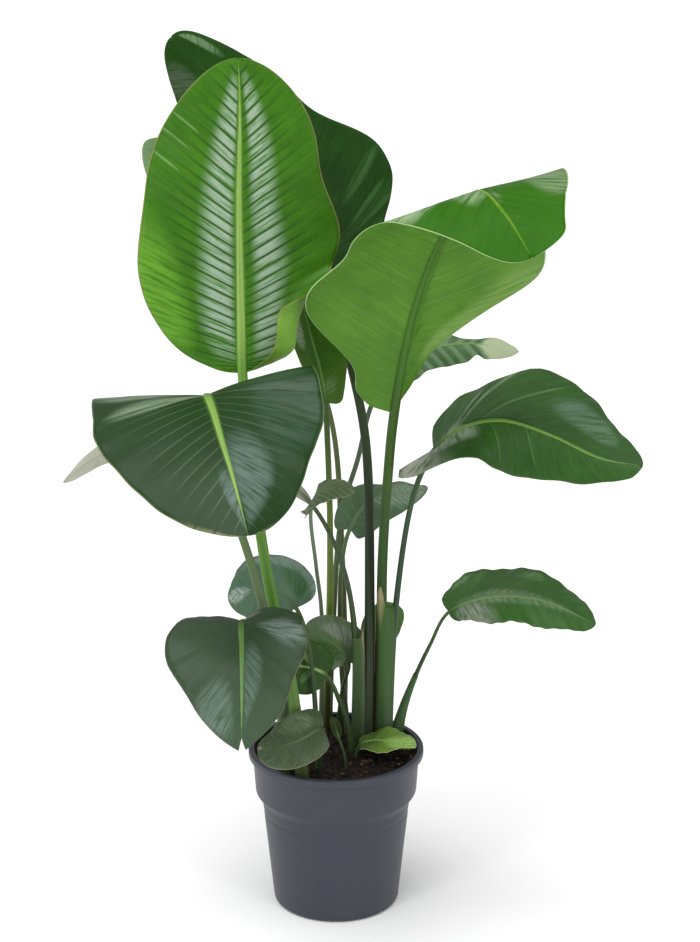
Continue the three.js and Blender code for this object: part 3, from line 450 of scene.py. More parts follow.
def unit(vectors):
    return vectors / np.maximum(np.linalg.norm(vectors, axis=-1, keepdims=True), 1e-9)


def spline(points, steps):
    """A centripetal Catmull-Rom curve through the points, sampled evenly between each two."""
    points = np.array(points, float)
    p = np.vstack([2 * points[0] - points[1], points, 2 * points[-1] - points[-2]])
    t = np.linspace(0, 1, steps, endpoint=False)[:, None]
    made = []
    for i in range(1, len(p) - 2):
        before, step, after = np.diff(p[i - 1 : i + 3], axis=0)
        a, b, c = (np.linalg.norm(way) ** 0.5 for way in (before, step, after))
        leave = b * (before / a - (before + step) / (a + b) + step / b)
        reach = b * (step / b - (step + after) / (b + c) + after / c)
        made.append(
            (2 * t**3 - 3 * t**2 + 1) * p[i]
            + (t**3 - 2 * t**2 + t) * leave
            + (3 * t**2 - 2 * t**3) * p[i + 1]
            + (t**3 - t**2) * reach
        )
    return np.vstack([*made, points[-1:]])


class Line:
    """The centre line of a leaf, by distance: the stalk first, then the rib from `foot` on."""

    def __init__(self, leaf):
        self.points = spline(leaf["stalk"] + leaf["rib"], LINE_STEPS)
        self.ahead = unit(np.gradient(self.points, axis=0))
        steps = np.linalg.norm(np.diff(self.points, axis=0), axis=1)
        self.lengths = np.concatenate([[0], np.cumsum(steps)])
        self.foot = self.lengths[LINE_STEPS * len(leaf["stalk"])]
        self.rib = self.lengths[-1] - self.foot

    def at(self, distance):
        point, ahead = (
            np.stack([np.interp(distance, self.lengths, values) for values in table.T], -1)
            for table in (self.points, self.ahead)
        )
        return point, unit(ahead)


def face_up(ahead, up):
    """The way up and the way right of a frame whose upper face should look along `up`."""
    up = unit(up - np.sum(up * ahead, -1, keepdims=True) * ahead)
    return up, np.cross(ahead, up)


def rib_frame(leaf, line, distance):
    """Frames at distances from the foot of the blade, carried straight on past its ends."""
    inside = np.clip(distance, 0, line.rib)
    point, ahead = line.at(line.foot + inside)
    point = point + ahead * (distance - inside)[..., None]
    face = along([np.array(look, float) for look in leaf["face"]], (inside / line.rib)[..., None])
    return point, *face_up(ahead, face)


def vein(leaf, half, v, rib_length):
    """Where the vein to each outline point v starts on the rib, how far it reaches, its width."""
    shape = math.log(leaf["widest"][half]) / math.log(0.5)
    foot, tip = leaf["ends"]
    width = leaf["half_width"][half] * np.sin(math.pi * v) ** (foot + (tip - foot) * v)
    for where, place, spread, share in leaf["swells"]:
        if where == half:
            width = width * (1 + share * np.exp(-(((v - place) / spread) ** 2)))
    back = leaf["lobe"][half] * np.sin(math.pi * np.minimum(1, v / LOBE_SHARE))
    reach = rib_length * ((1 - np.cos(math.pi * v)) / 2) ** shape - back
    angle = np.radians(along(leaf["veins"], v))
    start = np.clip(reach - width / np.tan(angle), FIRST_VEINS * v * rib_length, rib_length)
    return start, reach, np.maximum(width, TIP_WIDTH)


def half_blade(leaf, line, side, rows, columns):
    """The middle surface of one half of a blade, from its rib (first column) to its margin."""
    half = 0 if side < 0 else 1
    v = rows[:, None]
    to = columns[None, :]
    start, reach, width = vein(leaf, half, v, line.rib)
    lift, curl = (along([pair[half] for pair in leaf[name]], v) for name in ("lift", "curl"))
    foot_roll, tip_roll = (roll[half] for roll in leaf["roll"])
    roll = foot_roll * (1 - smoothstep(v, *FOOT_ROLL)) + tip_roll * smoothstep(v, *TIP_ROLL)
    middle = (to[:, 1:] + to[:, :-1]) / 2
    fold = np.radians(lift + curl * middle + roll * smoothstep(middle, *ROLL_SPAN))
    step = np.diff(to) * width
    outward = np.cumsum(np.hstack([0 * v, step * np.cos(fold)]), axis=1)
    upward = np.cumsum(np.hstack([0 * v, step * np.sin(fold)]), axis=1)
    height, count, phase = leaf["wave"]
    share, faster = SMALL_WAVES
    swing = np.sin(2 * math.pi * count * v + phase + side)
    swing = swing + share * np.sin(2 * math.pi * faster * count * v + 2 * phase - side)
    wave = height * to**2 * np.sin(math.pi * v) * swing
    point, up, right = rib_frame(leaf, line, start + (reach - start) * to)
    return point + right * (side * outward)[..., None] + up * (upward + wave)[..., None]


def blade_rows(leaf, line, count):
    """Outline places whose veins lie evenly spaced, counted at the middle of both halves."""
    v = np.linspace(FIRST_ROW, leaf["cut"], PROBES)
    columns = np.linspace(0, 0.5, 9)
    steps = 0
    for side in (-1, 1):
        middle = half_blade(leaf, line, side, v, columns)[:, -1]
        steps = steps + np.linalg.norm(np.diff(middle, axis=0), axis=1)
    reached = np.concatenate([[0], np.cumsum(steps)])
    return np.interp(np.linspace(0, reached[-1], count), reached, v)


def quads(index, across=None):
    """The four-sided faces between the rows of a grid of vertex numbers."""
    if across is None:
        index, across = index[:, :-1], index[:, 1:]
    return np.stack([index[:-1], across[:-1], across[1:], index[1:]], -1).reshape(-1, 4)


def sheet(upper, lower):
    """A thin sheet between two grids of points; kind 1 is its lower face, kind 0 the rest."""
    index = np.arange(upper[..., 0].size).reshape(upper.shape[:2])
    top = quads(index)
    bottom = top[:, ::-1] + index.size
    edge = np.concatenate([index[0], index[1:, -1], index[-1, -2::-1], index[-2:0:-1, 0]])
    after = np.roll(edge, -1)
    rim = np.stack([after, edge, edge + index.size, after + index.size], -1)
    vertices = np.concatenate([upper.reshape(-1, 3), lower.reshape(-1, 3)])
    faces = np.concatenate([top, bottom, rim])
    return vertices, faces, np.repeat([0, 1, 0], [len(top), len(bottom), len(rim)])


def blade_mesh(leaf, look, line):
    """The vertices, faces, blade coordinates and face materials of a blade."""
    creases, depth = look["creases"]
    rows = blade_rows(leaf, line, creases * ROWS_PER_CREASE + 1)
    columns = np.linspace(0, 1, COLUMNS[leaf["fine"]] + 1) ** COLUMN_POWER
    left = half_blade(leaf, line, -1, rows, columns)
    right = half_blade(leaf, line, 1, rows, columns)
    middle = np.concatenate([left[:, :0:-1], right], axis=1)
    across = np.concatenate([-columns[:0:-1], columns])
    out = np.abs(across)[None, :]
    normal = unit(np.cross(np.gradient(middle, axis=1), np.gradient(middle, axis=0)))
    number = np.arange(len(rows))[:, None] / ROWS_PER_CREASE
    pitch = np.linalg.norm(np.gradient(middle, axis=0), axis=2) * ROWS_PER_CREASE
    grows, full, fades, gone = QUILT_SPAN
    power, level = QUILT_SHAPE
    quilt = depth * (np.abs(np.sin(math.pi * number)) ** power - level)
    quilt = quilt * smoothstep(out, grows, full) * (1 - smoothstep(out, fades, gone))
    quilt = quilt * np.clip(pitch / FULL_PITCH, 0, 1)
    inner, margin = BLADE_THICKNESS
    half = (inner + (margin - inner) * out) / 2
    upper = middle + normal * (quilt + half)[..., None]
    lower = middle + normal * (quilt - half)[..., None]
    place = np.stack(np.broadcast_arrays(across[None, :], rows[:, None], number), -1)
    vertices, faces, kinds = sheet(upper, lower)
    return vertices, faces, np.concatenate([place.reshape(-1, 3)] * 2), kinds


def stalk_frames(leaf, line, stalk, rib):
    """The points, ways up and ways right of the tube, turned as little as can be down the stalk."""
    point, ahead = line.at(np.concatenate([stalk, line.foot + rib]))
    _, up, right = rib_frame(leaf, line, rib)
    ups = np.vstack([np.zeros((len(stalk), 3)), up])
    rights = np.vstack([np.zeros((len(stalk), 3)), right])
    up = np.array(leaf["face"][0], float)
    for i in reversed(range(len(stalk))):
        up, right = face_up(ahead[i], up)
        ups[i] = up
        rights[i] = right
    return point, ups, rights


def stalk_mesh(leaf, line):
    """The stalk and the rib as one tapering tube, with a channel along the stalk's upper side."""
    thick, thin = leaf["stalk_radius"]
    stalk = np.linspace(0, line.foot, max(8, int(line.foot / STALK_STEP)))
    split = leaf["cut"] < LEAF["cut"]
    rib = np.linspace(0, 1, RIB_STEPS)[1:] * line.rib * RIB_END[split]
    point, ups, rights = stalk_frames(leaf, line, stalk, rib)
    t = stalk / line.foot
    stalk_radius = thin + (thick - thin) * (1 - t) ** 2
    rib_radius = TIP_RADIUS + (thin - TIP_RADIUS) * (1 - rib / line.rib)
    radius = np.concatenate([stalk_radius, rib_radius])[:, None]
    on_rib = np.concatenate([0 * stalk, smoothstep(rib / line.rib, 0, RIB_START)])[:, None]
    angle = np.arange(STALK_SIDES)[None, :] * 2 * math.pi / STALK_SIDES
    from_top = np.abs((angle - math.pi / 2 + math.pi) % (2 * math.pi) - math.pi)
    near_top = np.exp(-((from_top / GROOVE_HALF) ** 2))
    groove = 1 - GROOVE_DEPTH * near_top * (1 - (1 - RIB_GROOVE) * on_rib)
    tall = np.sin(angle) * STALK_OVAL * (1 - on_rib * (1 - RIB_ABOVE) * (np.sin(angle) > 0))
    ring = (
        point[:, None, :]
        + rights[:, None, :] * (radius * np.cos(angle) * groove)[..., None]
        + ups[:, None, :] * (radius * tall * groove)[..., None]
    )
    share = np.concatenate([t, 1 + rib / line.rib])[:, None]
    place = np.stack(np.broadcast_arrays(angle / (2 * math.pi), share, near_top), -1)
    index = np.arange(ring[..., 0].size).reshape(ring.shape[:2])
    caps = [index[0, ::-1].tolist(), index[-1].tolist()]
    faces = quads(index, np.roll(index, -1, axis=1))
    return ring.reshape(-1, 3), faces, place.reshape(-1, 3), caps


def object_of(name, vertices, faces, materials, kinds=None, smooth=True):
    """A mesh object in metres, riding on the plant's one body."""
    mesh = bpy.data.meshes.new(name)
    mesh.from_pydata((np.asarray(vertices) * MM).tolist(), [], faces)
    for material in materials:
        mesh.materials.append(material)
    if kinds is not None:
        mesh.polygons.foreach_set("material_index", kinds)
    mesh.polygons.foreach_set("use_smooth", [smooth] * len(mesh.polygons))
    mesh.update()
    piece = bpy.data.objects.new(name, mesh)
    bpy.context.scene.collection.objects.link(piece)
    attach(piece, "root")
    return piece


def place_attribute(piece, name, values):
    attribute = piece.data.attributes.new(name, "FLOAT_VECTOR", "POINT")
    attribute.data.foreach_set("vector", np.asarray(values, np.float32).ravel())


# Materials ---------------------------------------------------------------------------------

# How strongly each surface mirrors the light, how many times a metre its noise changes, and how
# deep its fine relief is, in metres.
GLOSS = dict(under=0.25, stalk=0.3, sheath=0.25, pot=0.45, peat=0.25, crumbs=0.3, floor=0.1)
GRAIN = dict(blade=16.0, bloom=9.0, pot=180.0, peat=70.0, crumbs=420.0, floor=0.6)
RELIEF = dict(blade=0.00025, stalk=0.0006, sheath=0.0008, pot=0.00012, peat=0.004, crumbs=0.0012)

CREASE_SHADE_AND_HIGHLIGHT = ("0c2408", "b4c8a4")  # painted shade in a dark vein's crease; a pale vein's own colour with a painted highlight
CREASE_PAINT_STRENGTH = 0.6
CREASE_EDGES = (0.3, 0.42)  # of a dark and a pale one, from the middle between two of them
CREASE_FULL = 0.47
GREEN_SPLIT = (0.38, 0.72)  # where the noise passes from one green to the other
RIB_BAND = (0.06, 0.015)  # across a half: where the rib's colour begins and is full
MARGIN_BAND = (0.984, 0.996)
SPOT_EDGE = (1.3, 0.2)  # squared distance, in half sizes, where a spot begins and is full
TIP_EDGE = (0.03, 0.07)  # how far past its place a dry tip begins and is full
FACE_ROUGHNESS = (0.3, 0.45)  # of the upper and the lower face
BLADE_STREAKS = (2.2, 3.1)  # how quickly they change across the blade and from vein to vein
FINE_LINES = 6  # between two side veins
GLARE_ENDS = ((0.18, 0.4), (0.98, 0.86))  # along the outline: where the shine grows and fades
STALK_STREAKS = (26.0, 5.0)  # how quickly they change round the stalk and up it
STALK_SHADE = "1c2a12"
EARTH = "3c2f24"
EARTH_TOP = 0.09  # share of the stalk that is soiled


def srgb(code):
    """A colour as seen, in hexadecimal, as the linear colour that a shader takes."""
    parts = [int(code[i : i + 2], 16) / 255 for i in (0, 2, 4)]
    return (*[p / 12.92 if p <= 0.04045 else ((p + 0.055) / 1.055) ** 2.4 for p in parts], 1)


def operation(kind, swapped=False):
    """A method that makes a new field from this one and from numbers or other fields."""

    def method(field, *others):
        values = (*others, field) if swapped else (field, *others)
        return field.shader.math(kind, *values)

    return method


class Field:
    """A number that differs from place to place on a surface."""

    def __init__(self, shader, socket):
        self.shader = shader
        self.socket = socket

    __add__ = operation("ADD")
    __mul__ = operation("MULTIPLY")
    __sub__ = operation("SUBTRACT")
    __rsub__ = operation("SUBTRACT", swapped=True)
    __truediv__ = operation("DIVIDE")
    __gt__ = operation("GREATER_THAN")
    __abs__ = operation("ABSOLUTE")
    fract = operation("FRACT")
    sine = operation("SINE")

    def smooth(self, low, high):
        """From 0 where the field is `low` to 1 where it is `high`."""
        inputs = {"Value": self, "From Min": low, "From Max": high}
        made = self.shader.node("MapRange", inputs, interpolation_type="SMOOTHSTEP")
        return Field(self.shader, made.outputs[0])


class Shader:
    """A material with a principled shader, and short ways to add nodes to it."""

    def __init__(self, name, gloss):
        self.material = bpy.data.materials.new(name)
        self.material.use_nodes = True
        self.tree = self.material.node_tree
        self.surface = self.tree.nodes["Principled BSDF"]
        self.surface.inputs["Specular IOR Level"].default_value = gloss

    def put(self, target, value):
        value = getattr(value, "socket", value)
        if isinstance(value, bpy.types.NodeSocket):
            self.tree.links.new(value, target)
        else:
            target.default_value = value

    def node(self, kind, inputs=(), **settings):
        made = self.tree.nodes.new("ShaderNode" + kind)
        for key, value in settings.items():
            setattr(made, key, value)
        for key, value in dict(inputs).items():
            self.put(made.inputs[key], value)
        return made

    def math(self, kind, *values):
        made = self.node("Math", enumerate(values), operation=kind)
        return Field(self, made.outputs[0])

    def blend(self, factor, a, b):
        return Field(self, self.node("Mix", {0: factor, 2: a, 3: b}).outputs[0])

    def mix(self, factor, a, b):
        return self.node("Mix", {0: factor, 6: a, 7: b}, data_type="RGBA").outputs[2]

    def noise(self, scale, detail, rough=0.6, vector=None):
        if vector is None:
            vector = self.place()
        inputs = {"Scale": scale, "Detail": detail, "Roughness": rough, "Vector": vector}
        return Field(self, self.node("TexNoise", inputs).outputs[0])

    def streaks(self, ways, quickness, detail):
        """Noise that changes more quickly one way over the surface than the other."""
        flow = self.vector(*(way * quick for way, quick in zip(ways, quickness)))
        return self.noise(1.0, detail, vector=flow)

    def place(self):
        return self.node("TexCoord").outputs["Object"]

    def parts(self, vector):
        return [Field(self, part) for part in self.node("SeparateXYZ", {0: vector}).outputs]

    def attribute(self, name):
        return self.parts(self.node("Attribute", attribute_name=name).outputs["Vector"])

    def vector(self, x, y, z=0.0):
        return self.node("CombineXYZ", {0: x, 1: y, 2: z}).outputs[0]

    def bump(self, height, distance, strength):
        inputs = {"Height": height, "Distance": distance, "Strength": strength}
        self.put(self.surface.inputs["Normal"], self.node("Bump", inputs).outputs[0])

    def finish(self, colour, roughness):
        self.put(self.surface.inputs["Base Color"], colour)
        self.put(self.surface.inputs["Roughness"], roughness)
        return self.material


def glare_band(glare, across, along_leaf, streaks):
    """How much painted highlight, a pale band of glare, lies on each place of the upper face."""
    out = abs(across)
    left, right = (
        out.smooth(begin * 0.7, begin + 0.08) * out.smooth(end + 0.1, end - 0.12)
        for begin, end in glare
    )
    on_right = across > 0.0
    band = left * (1.0 - on_right) + right * on_right
    grows, fades = GLARE_ENDS
    return band * (along_leaf.smooth(*grows) * along_leaf.smooth(*fades)) * streaks.smooth(0.3, 0.55)


def soft_spot(across, along_leaf, place, half):
    """How much of a soft oval spot lies on each place of a face."""
    aside = (across - place[0]) / half[0]
    ahead = (along_leaf - place[1]) / half[1]
    return (aside * aside + ahead * ahead).smooth(*SPOT_EDGE)


def blade_material(name, look, face):
    """One face of a blade: side veins pressed in, with painted shade in their creases, a paler rib,
    streaks, spots of painted highlight and shade, and a dry margin.
    """
    side = ("upper", "lower").index(face)
    shader = Shader(name, (look["gloss"], GLOSS["under"])[side])
    across, along_leaf, number = shader.attribute("blade")
    out = abs(across)
    strength = look["vein"][side]
    dark = strength > 0
    crease = abs(number.fract() - 0.5).smooth(CREASE_EDGES[0 if dark else 1], CREASE_FULL)
    crease = crease * (out.smooth(0.02, 0.08) * out.smooth(0.9, 0.4))
    streaks = shader.streaks((across, number), BLADE_STREAKS, 3.0)
    mottle = shader.noise(GRAIN["blade"], 5.0)
    greens = (streaks * 0.5 + mottle * 0.6).smooth(*GREEN_SPLIT)
    if look["stripes"]:
        strips = (number * math.pi).sine().smooth(-0.4, 0.4)
        greens = shader.blend(look["stripes"], greens, strips)
    colour = shader.mix(greens, *map(srgb, look[face]))
    # Painted shade in the creases of dark side veins; pale side veins get their own paler colour and a
    # painted highlight.
    shade = srgb(CREASE_SHADE_AND_HIGHLIGHT[0 if dark else 1])
    colour = shader.mix(crease * (abs(strength) * CREASE_PAINT_STRENGTH), colour, shade)
    # Painted highlight: pale bands of glare beside the rib, kept out of the dark creases.
    if look["glare"] and face == "upper":
        amount, code, *halves = look["glare"]
        band = glare_band(halves, across, along_leaf, streaks)
        if dark:
            band = band * (1.0 - crease)
        colour = shader.mix(band * amount, colour, srgb(code))
    beside_crease = 1.0 - crease * 0.6
    # Spots: mostly painted highlights, reflections and shade, some the leaf's own colour; kept partly out
    # of the creases.
    for code, amount, *spot in look[("patches", "under_patches")[side]]:
        spot = soft_spot(across, along_leaf, spot[:2], spot[2:]) * streaks.smooth(0.25, 0.6)
        colour = shader.mix(spot * beside_crease * amount, colour, srgb(code))
    colour = shader.mix(out.smooth(*RIB_BAND) * 0.6, colour, srgb(look["rib"][side]))
    colour = shader.mix(out.smooth(*MARGIN_BAND), colour, srgb(look["margin"]))
    if look["tip"]:
        code, place, amount = look["tip"]
        dry = (along_leaf + mottle * 0.08).smooth(*(place + edge for edge in TIP_EDGE))
        colour = shader.mix(dry * amount, colour, srgb(code))
    lines = (number * (2 * math.pi * FINE_LINES)).sine()
    shader.bump(lines * 0.35 + mottle, RELIEF["blade"], 0.5)
    return shader.finish(colour, mottle * 0.16 + FACE_ROUGHNESS[side])


def stalk_material(name, look):
    """A fleshy stalk: it changes from the compost up, with fine streaks along it and painted shade in its
    channel.
    """
    shader = Shader(name, GLOSS["stalk"])
    turn, share, channel = shader.attribute("blade")
    base, middle, foot = map(srgb, look["stalk"])
    colour = shader.mix(share.smooth(0.0, 0.45), base, middle)
    colour = shader.mix(share.smooth(0.45, 1.0), colour, foot)
    from_below = abs(turn - 0.75)
    rib = shader.mix(from_below.smooth(0.24, 0.15), *map(srgb, look["rib"]))
    colour = shader.mix(share.smooth(0.98, 1.15), colour, rib)
    streaks = shader.streaks((turn, share), STALK_STREAKS, 3.0)
    dark = shader.mix(0.5, colour, srgb(STALK_SHADE))
    colour = shader.mix(streaks.smooth(0.5, 0.75) * 0.7, colour, dark)
    # Painted shade in the channel along the stalk's upper side.
    colour = shader.mix(channel.smooth(0.5, 1.0) * 0.35, colour, dark)
    colour = shader.mix(share.smooth(EARTH_TOP, 0.0) * 0.7, colour, srgb(EARTH))
    shader.bump(streaks, RELIEF["stalk"], 0.4)
    return shader.finish(colour, streaks * 0.2 + 0.38)


def make_leaf(name, leaf):
    look = {**LOOK, **LOOKS[name]}
    line = Line(leaf)
    vertices, faces, place, kinds = blade_mesh(leaf, look, line)
    tube, tube_faces, tube_place, caps = stalk_mesh(leaf, line)
    start = len(vertices)
    faces = faces.tolist() + (tube_faces + start).tolist()
    faces += [[i + start for i in cap] for cap in caps]
    kinds = kinds.tolist() + [2] * (len(faces) - len(kinds))
    materials = [blade_material(f"{name}_{face}", look, face) for face in ("upper", "lower")]
    materials.append(stalk_material(name + "_stalk", look))
    piece = object_of(name + "_fine", np.vstack([vertices, tube]), faces, materials, kinds)
    place_attribute(piece, "blade", np.vstack([place, tube_place]))
    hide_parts(name)


for leaf_name, leaf_numbers in LEAVES.items():
    make_leaf(leaf_name, leaf_numbers)


# The sheaths at the feet of the fans -------------------------------------------------------

# Each clasps the foot of a stalk and reaches across to its neighbour.
#   shift    from the stalk to the neighbour, at the foot and at the top of the sheath
#   radius   of the sheath round each of them, at the foot and at the top
#   shoulder the height of its rim, and tip the height of the tongue that stands up from it
#   turn     the way the tongue faces and how wide it is, in degrees
#    dark_side the way a dark brown band down one side faces and how wide it is, in degrees
#   colours  of the foot, the middle and the dry rim
SHEATHS = {
    "sheath_right": dict(
        leaf="leaf_04", shift=((6, 10), (14, 16)), radius=(11.5, 7.6), shoulder=412, tip=450,
        turn=(252, 50), dark_side=(208, 42), colours=("2a3f22", "33551f", "938a62"),
    ),
    "sheath_left": dict(
        leaf="leaf_17", shift=((8, -3), (7, -2)), radius=(7.5, 5), shoulder=374, tip=388,
        turn=(340, 50), dark_side=(338, 20), colours=("3c4a30", "49603a", "8f8468"),
    ),
    "sheath_low": dict(
        leaf="leaf_06", shift=((-7, -4), (0, 0)), radius=(7.5, 4.2), shoulder=300, tip=306,
        turn=(200, 40), dark_side=(180, 30), colours=("33482a", "3a5a30", "4c5a38"),
    ),
}
SHEATH_GRID = (36, 48)  # rows up and columns round
SHEATH_GAP = 40  # degrees left open at the back
SHEATH_THICKNESS = 0.6
SHEATH_SINK = 6  # how far it reaches into the compost
SHEATH_BETWEEN = 0.3  # how gently it passes from round the stalk to round the neighbour
DRY_LENGTH = 85  # how far down from its tip a tongue is dry
SHEATH_STREAKS = (9.0, 4.0)  # how quickly they change round the sheath and up it
SHEATH_SHADE = "1c2412"
DARK_SIDE = "33231a"


def sheath_points(sheath, line, inward):
    """A grid of points up and round the sheath, a distance inside its outer face."""
    rows, columns = SHEATH_GRID
    gap = math.radians(SHEATH_GAP)
    turn = np.linspace(math.pi / 2 + gap / 2, 2.5 * math.pi - gap / 2, columns)
    faces, width = np.radians(sheath["turn"])
    tongue = np.exp(-(((turn - faces) / width) ** 2))
    top = sheath["shoulder"] + (sheath["tip"] - sheath["shoulder"]) * tongue
    foot = SOIL_TOP - SHEATH_SINK
    height = foot + (top - foot)[None, :] * np.linspace(0, 1, rows)[:, None]
    rise = ((height - foot) / (sheath["tip"] - foot))[..., None]
    stalk = np.stack([np.interp(height, line.points[:, 2], line.points[:, i]) for i in (0, 1)], -1)
    low, high = (np.array(shift, float) for shift in sheath["shift"])
    shift = low + (high - low) * rise
    thick, thin = sheath["radius"]
    radius = thin + (thick - thin) * (1 - rise) ** 2 - inward
    out = np.stack([np.cos(turn), np.sin(turn)], -1)[None, :]
    reach = np.maximum(np.linalg.norm(shift, axis=-1), 1e-9)
    beside = smoothstep(np.sum(out * shift, -1) / reach, -SHEATH_BETWEEN, SHEATH_BETWEEN)
    flat = stalk + shift * beside[..., None] + out * radius
    below_rim = (top - height) / DRY_LENGTH + 1 - tongue
    place = np.stack(np.broadcast_arrays(turn[None, :], rise[..., 0], below_rim), -1)
    return np.concatenate([flat, height[..., None]], -1), place


def sheath_material(name, sheath):
    """Green at the foot, with fine ribs along it, a dark brown band down one side and a tongue of dry
    papery skin.
    """
    shader = Shader(name, GLOSS["sheath"])
    turn, rise, below_rim = shader.attribute("place")
    foot, middle, dry = map(srgb, sheath["colours"])
    streaks = shader.streaks((turn, rise), SHEATH_STREAKS, 4.0)
    colour = shader.mix(rise.smooth(0.0, 0.5), foot, middle)
    # A dark brown band down one side, fading towards the top.
    faces, width = (math.radians(angle) for angle in sheath["dark_side"])
    aside = abs(turn - faces) + streaks * 0.5
    dark_side = aside.smooth(width + 0.3, width * 0.5 + 0.2) * rise.smooth(0.95, 0.6)
    colour = shader.mix(dark_side * 0.85, colour, srgb(DARK_SIDE))
    colour = shader.mix((below_rim + streaks).smooth(1.3, 0.7), colour, dry)
    dark = shader.mix(0.5, colour, srgb(SHEATH_SHADE))
    colour = shader.mix(streaks.smooth(0.5, 0.7) * 0.4, colour, dark)
    shader.bump(streaks, RELIEF["sheath"], 0.5)
    return shader.finish(colour, 0.55)


def make_sheath(name, sheath):
    line = Line(LEAVES[sheath["leaf"]])
    outside, place = sheath_points(sheath, line, 0)
    inside, _ = sheath_points(sheath, line, SHEATH_THICKNESS)
    vertices, faces, _ = sheet(outside, inside)
    piece = object_of(name, vertices, faces.tolist(), [sheath_material(name, sheath)])
    place_attribute(piece, "place", np.concatenate([place.reshape(-1, 3)] * 2))


for sheath_name, sheath_numbers in SHEATHS.items():
    make_sheath(sheath_name, sheath_numbers)


# The pot -----------------------------------------------------------------------------------

POT = dict(
    height=225, lip_radius=120, lip_height=11, collar_top=114, collar_bottom=110.5,
    collar_height=62, step_height=13, body_top=101.5, base=86, chamfer=4, wall=2.4, floor=3,
)
POT_GROOVE = dict(below=16, height=4, depth=1)
POT_SEGMENTS = 180
POT_ROUNDING = 2.5  # radius of its edges
SIDE_SHARE = 0.45  # of a side of the profile, the most that the rounding of a corner takes
SHARP_EDGE = 40  # degrees
NOTCHES = dict(count=10, half_angle=3.0, height=2.2, depth=7)
DRAINS = dict(count=6, radius=7, circle=56, sides=32, depth=30)
RING_MARKS = 900.0  # how quickly the turning marks change with height
POT_GREYS = ("2c313c", "333842")


def rounded(profile, radius, steps=4):
    """The profile with its corners rounded off, as far as its sides allow."""
    made = [profile[0]]
    for before, corner, after in zip(profile, profile[1:], profile[2:]):
        a, b, c = (np.array(p, float) for p in (before, corner, after))
        cut = min(radius, *(np.linalg.norm(end - b) * SIDE_SHARE for end in (a, c)))
        first = b + unit(a - b) * cut
        last = b + unit(c - b) * cut
        for t in np.linspace(0, 1, steps + 1):
            made.append(tuple((1 - t) ** 2 * first + 2 * t * (1 - t) * b + t * t * last))
    made.append(profile[-1])
    return made


def body_point(z, step, inward=0):
    """A point of the plain taper between the foot and the step, a distance inside it."""
    return POT["base"] + (POT["body_top"] - POT["base"]) * z / step - inward, z


def pot_profile():
    height, wall = POT["height"], POT["wall"]
    collar = height - POT["collar_height"]
    step = collar - POT["step_height"]
    lip = height - POT["lip_height"]
    groove = step - POT_GROOVE["below"]
    outside = [
        (0, 0),
        (POT["base"] - POT["chamfer"], 0),
        body_point(POT["chamfer"], step),
        body_point(groove - POT_GROOVE["height"], step),
        body_point(groove, step, POT_GROOVE["depth"]),
        body_point(groove + POT_GROOVE["height"], step),
        (POT["body_top"], step),
        (POT["collar_bottom"], collar),
        (POT["collar_top"], lip),
        (POT["lip_radius"], lip),
        (POT["lip_radius"], height),
    ]
    inside = [
        (POT["collar_top"] - wall, height),
        (POT["collar_bottom"] - wall, collar),
        (POT["body_top"] - wall, step),
        (POT["base"] - wall, POT["floor"]),
        (0, POT["floor"]),
    ]
    return rounded(outside + inside, POT_ROUNDING)


def turned(profile, segments):
    """Vertices and faces of a profile turned round the pot's axis; its ends lie on the axis."""
    inner = np.array(profile[1:-1], float)
    angle = np.arange(segments) * 2 * math.pi / segments
    radius, height = inner[:, :1], inner[:, 1:]
    ring = np.stack(
        [radius * np.cos(angle), radius * np.sin(angle), np.repeat(height, segments, 1)], -1
    )
    index = np.arange(ring[..., 0].size).reshape(ring.shape[:2])
    across = np.roll(index, -1, axis=1)
    low, high = index.size, index.size + 1
    faces = quads(index, across).tolist()
    faces += [[low, b, a] for a, b in zip(index[0], across[0])]
    faces += [[high, a, b] for a, b in zip(index[-1], across[-1])]
    ends = [[0, 0, profile[0][1]], [0, 0, profile[-1][1]]]
    return np.vstack([ring.reshape(-1, 3), ends]), faces


def cut_notches(vertices):
    """Lifts the bottom edge where the notches are."""
    radius = np.hypot(vertices[:, 0], vertices[:, 1])
    turn = np.degrees(np.arctan2(vertices[:, 1], vertices[:, 0]))
    spacing = 360 / NOTCHES["count"]
    away = np.abs((turn % spacing) - spacing / 2)
    notch = (away < NOTCHES["half_angle"]) & (radius > POT["base"] - NOTCHES["depth"])
    notch &= vertices[:, 2] < NOTCHES["height"]
    vertices[notch, 2] = NOTCHES["height"]
    return vertices


def cut_drains(pot):
    """Cuts the round drain holes through the floor."""
    holes = []
    for i in range(DRAINS["count"]):
        turn = i * 2 * math.pi / DRAINS["count"]
        bpy.ops.mesh.primitive_cylinder_add(
            vertices=DRAINS["sides"],
            radius=DRAINS["radius"] * MM,
            depth=DRAINS["depth"] * MM,
            location=Vector((math.cos(turn), math.sin(turn), 0)) * DRAINS["circle"] * MM,
        )
        holes.append(bpy.context.object)
    for hole in holes:
        cut = pot.modifiers.new("drain", "BOOLEAN")
        cut.operation = "DIFFERENCE"
        cut.object = hole
        with bpy.context.temp_override(object=pot, active_object=pot):
            bpy.ops.object.modifier_apply(modifier=cut.name)
        bpy.data.objects.remove(hole)


def plastic():
    """Satin slate-grey plastic with faint turning marks and a dusty bloom."""
    shader = Shader("pot_plastic", GLOSS["pot"])
    bloom = shader.noise(GRAIN["bloom"], 5.0)
    colour = shader.mix(bloom.smooth(0.35, 0.7), *map(srgb, POT_GREYS))
    fine = shader.noise(GRAIN["pot"], 3.0)
    height = shader.parts(shader.place())[2]
    rings = shader.noise(1.0, 2.0, vector=shader.vector(0.0, 0.0, height * RING_MARKS))
    shader.bump(fine * 0.6 + rings * 0.5, RELIEF["pot"], 0.5)
    return shader.finish(colour, bloom * 0.18 + 0.36)


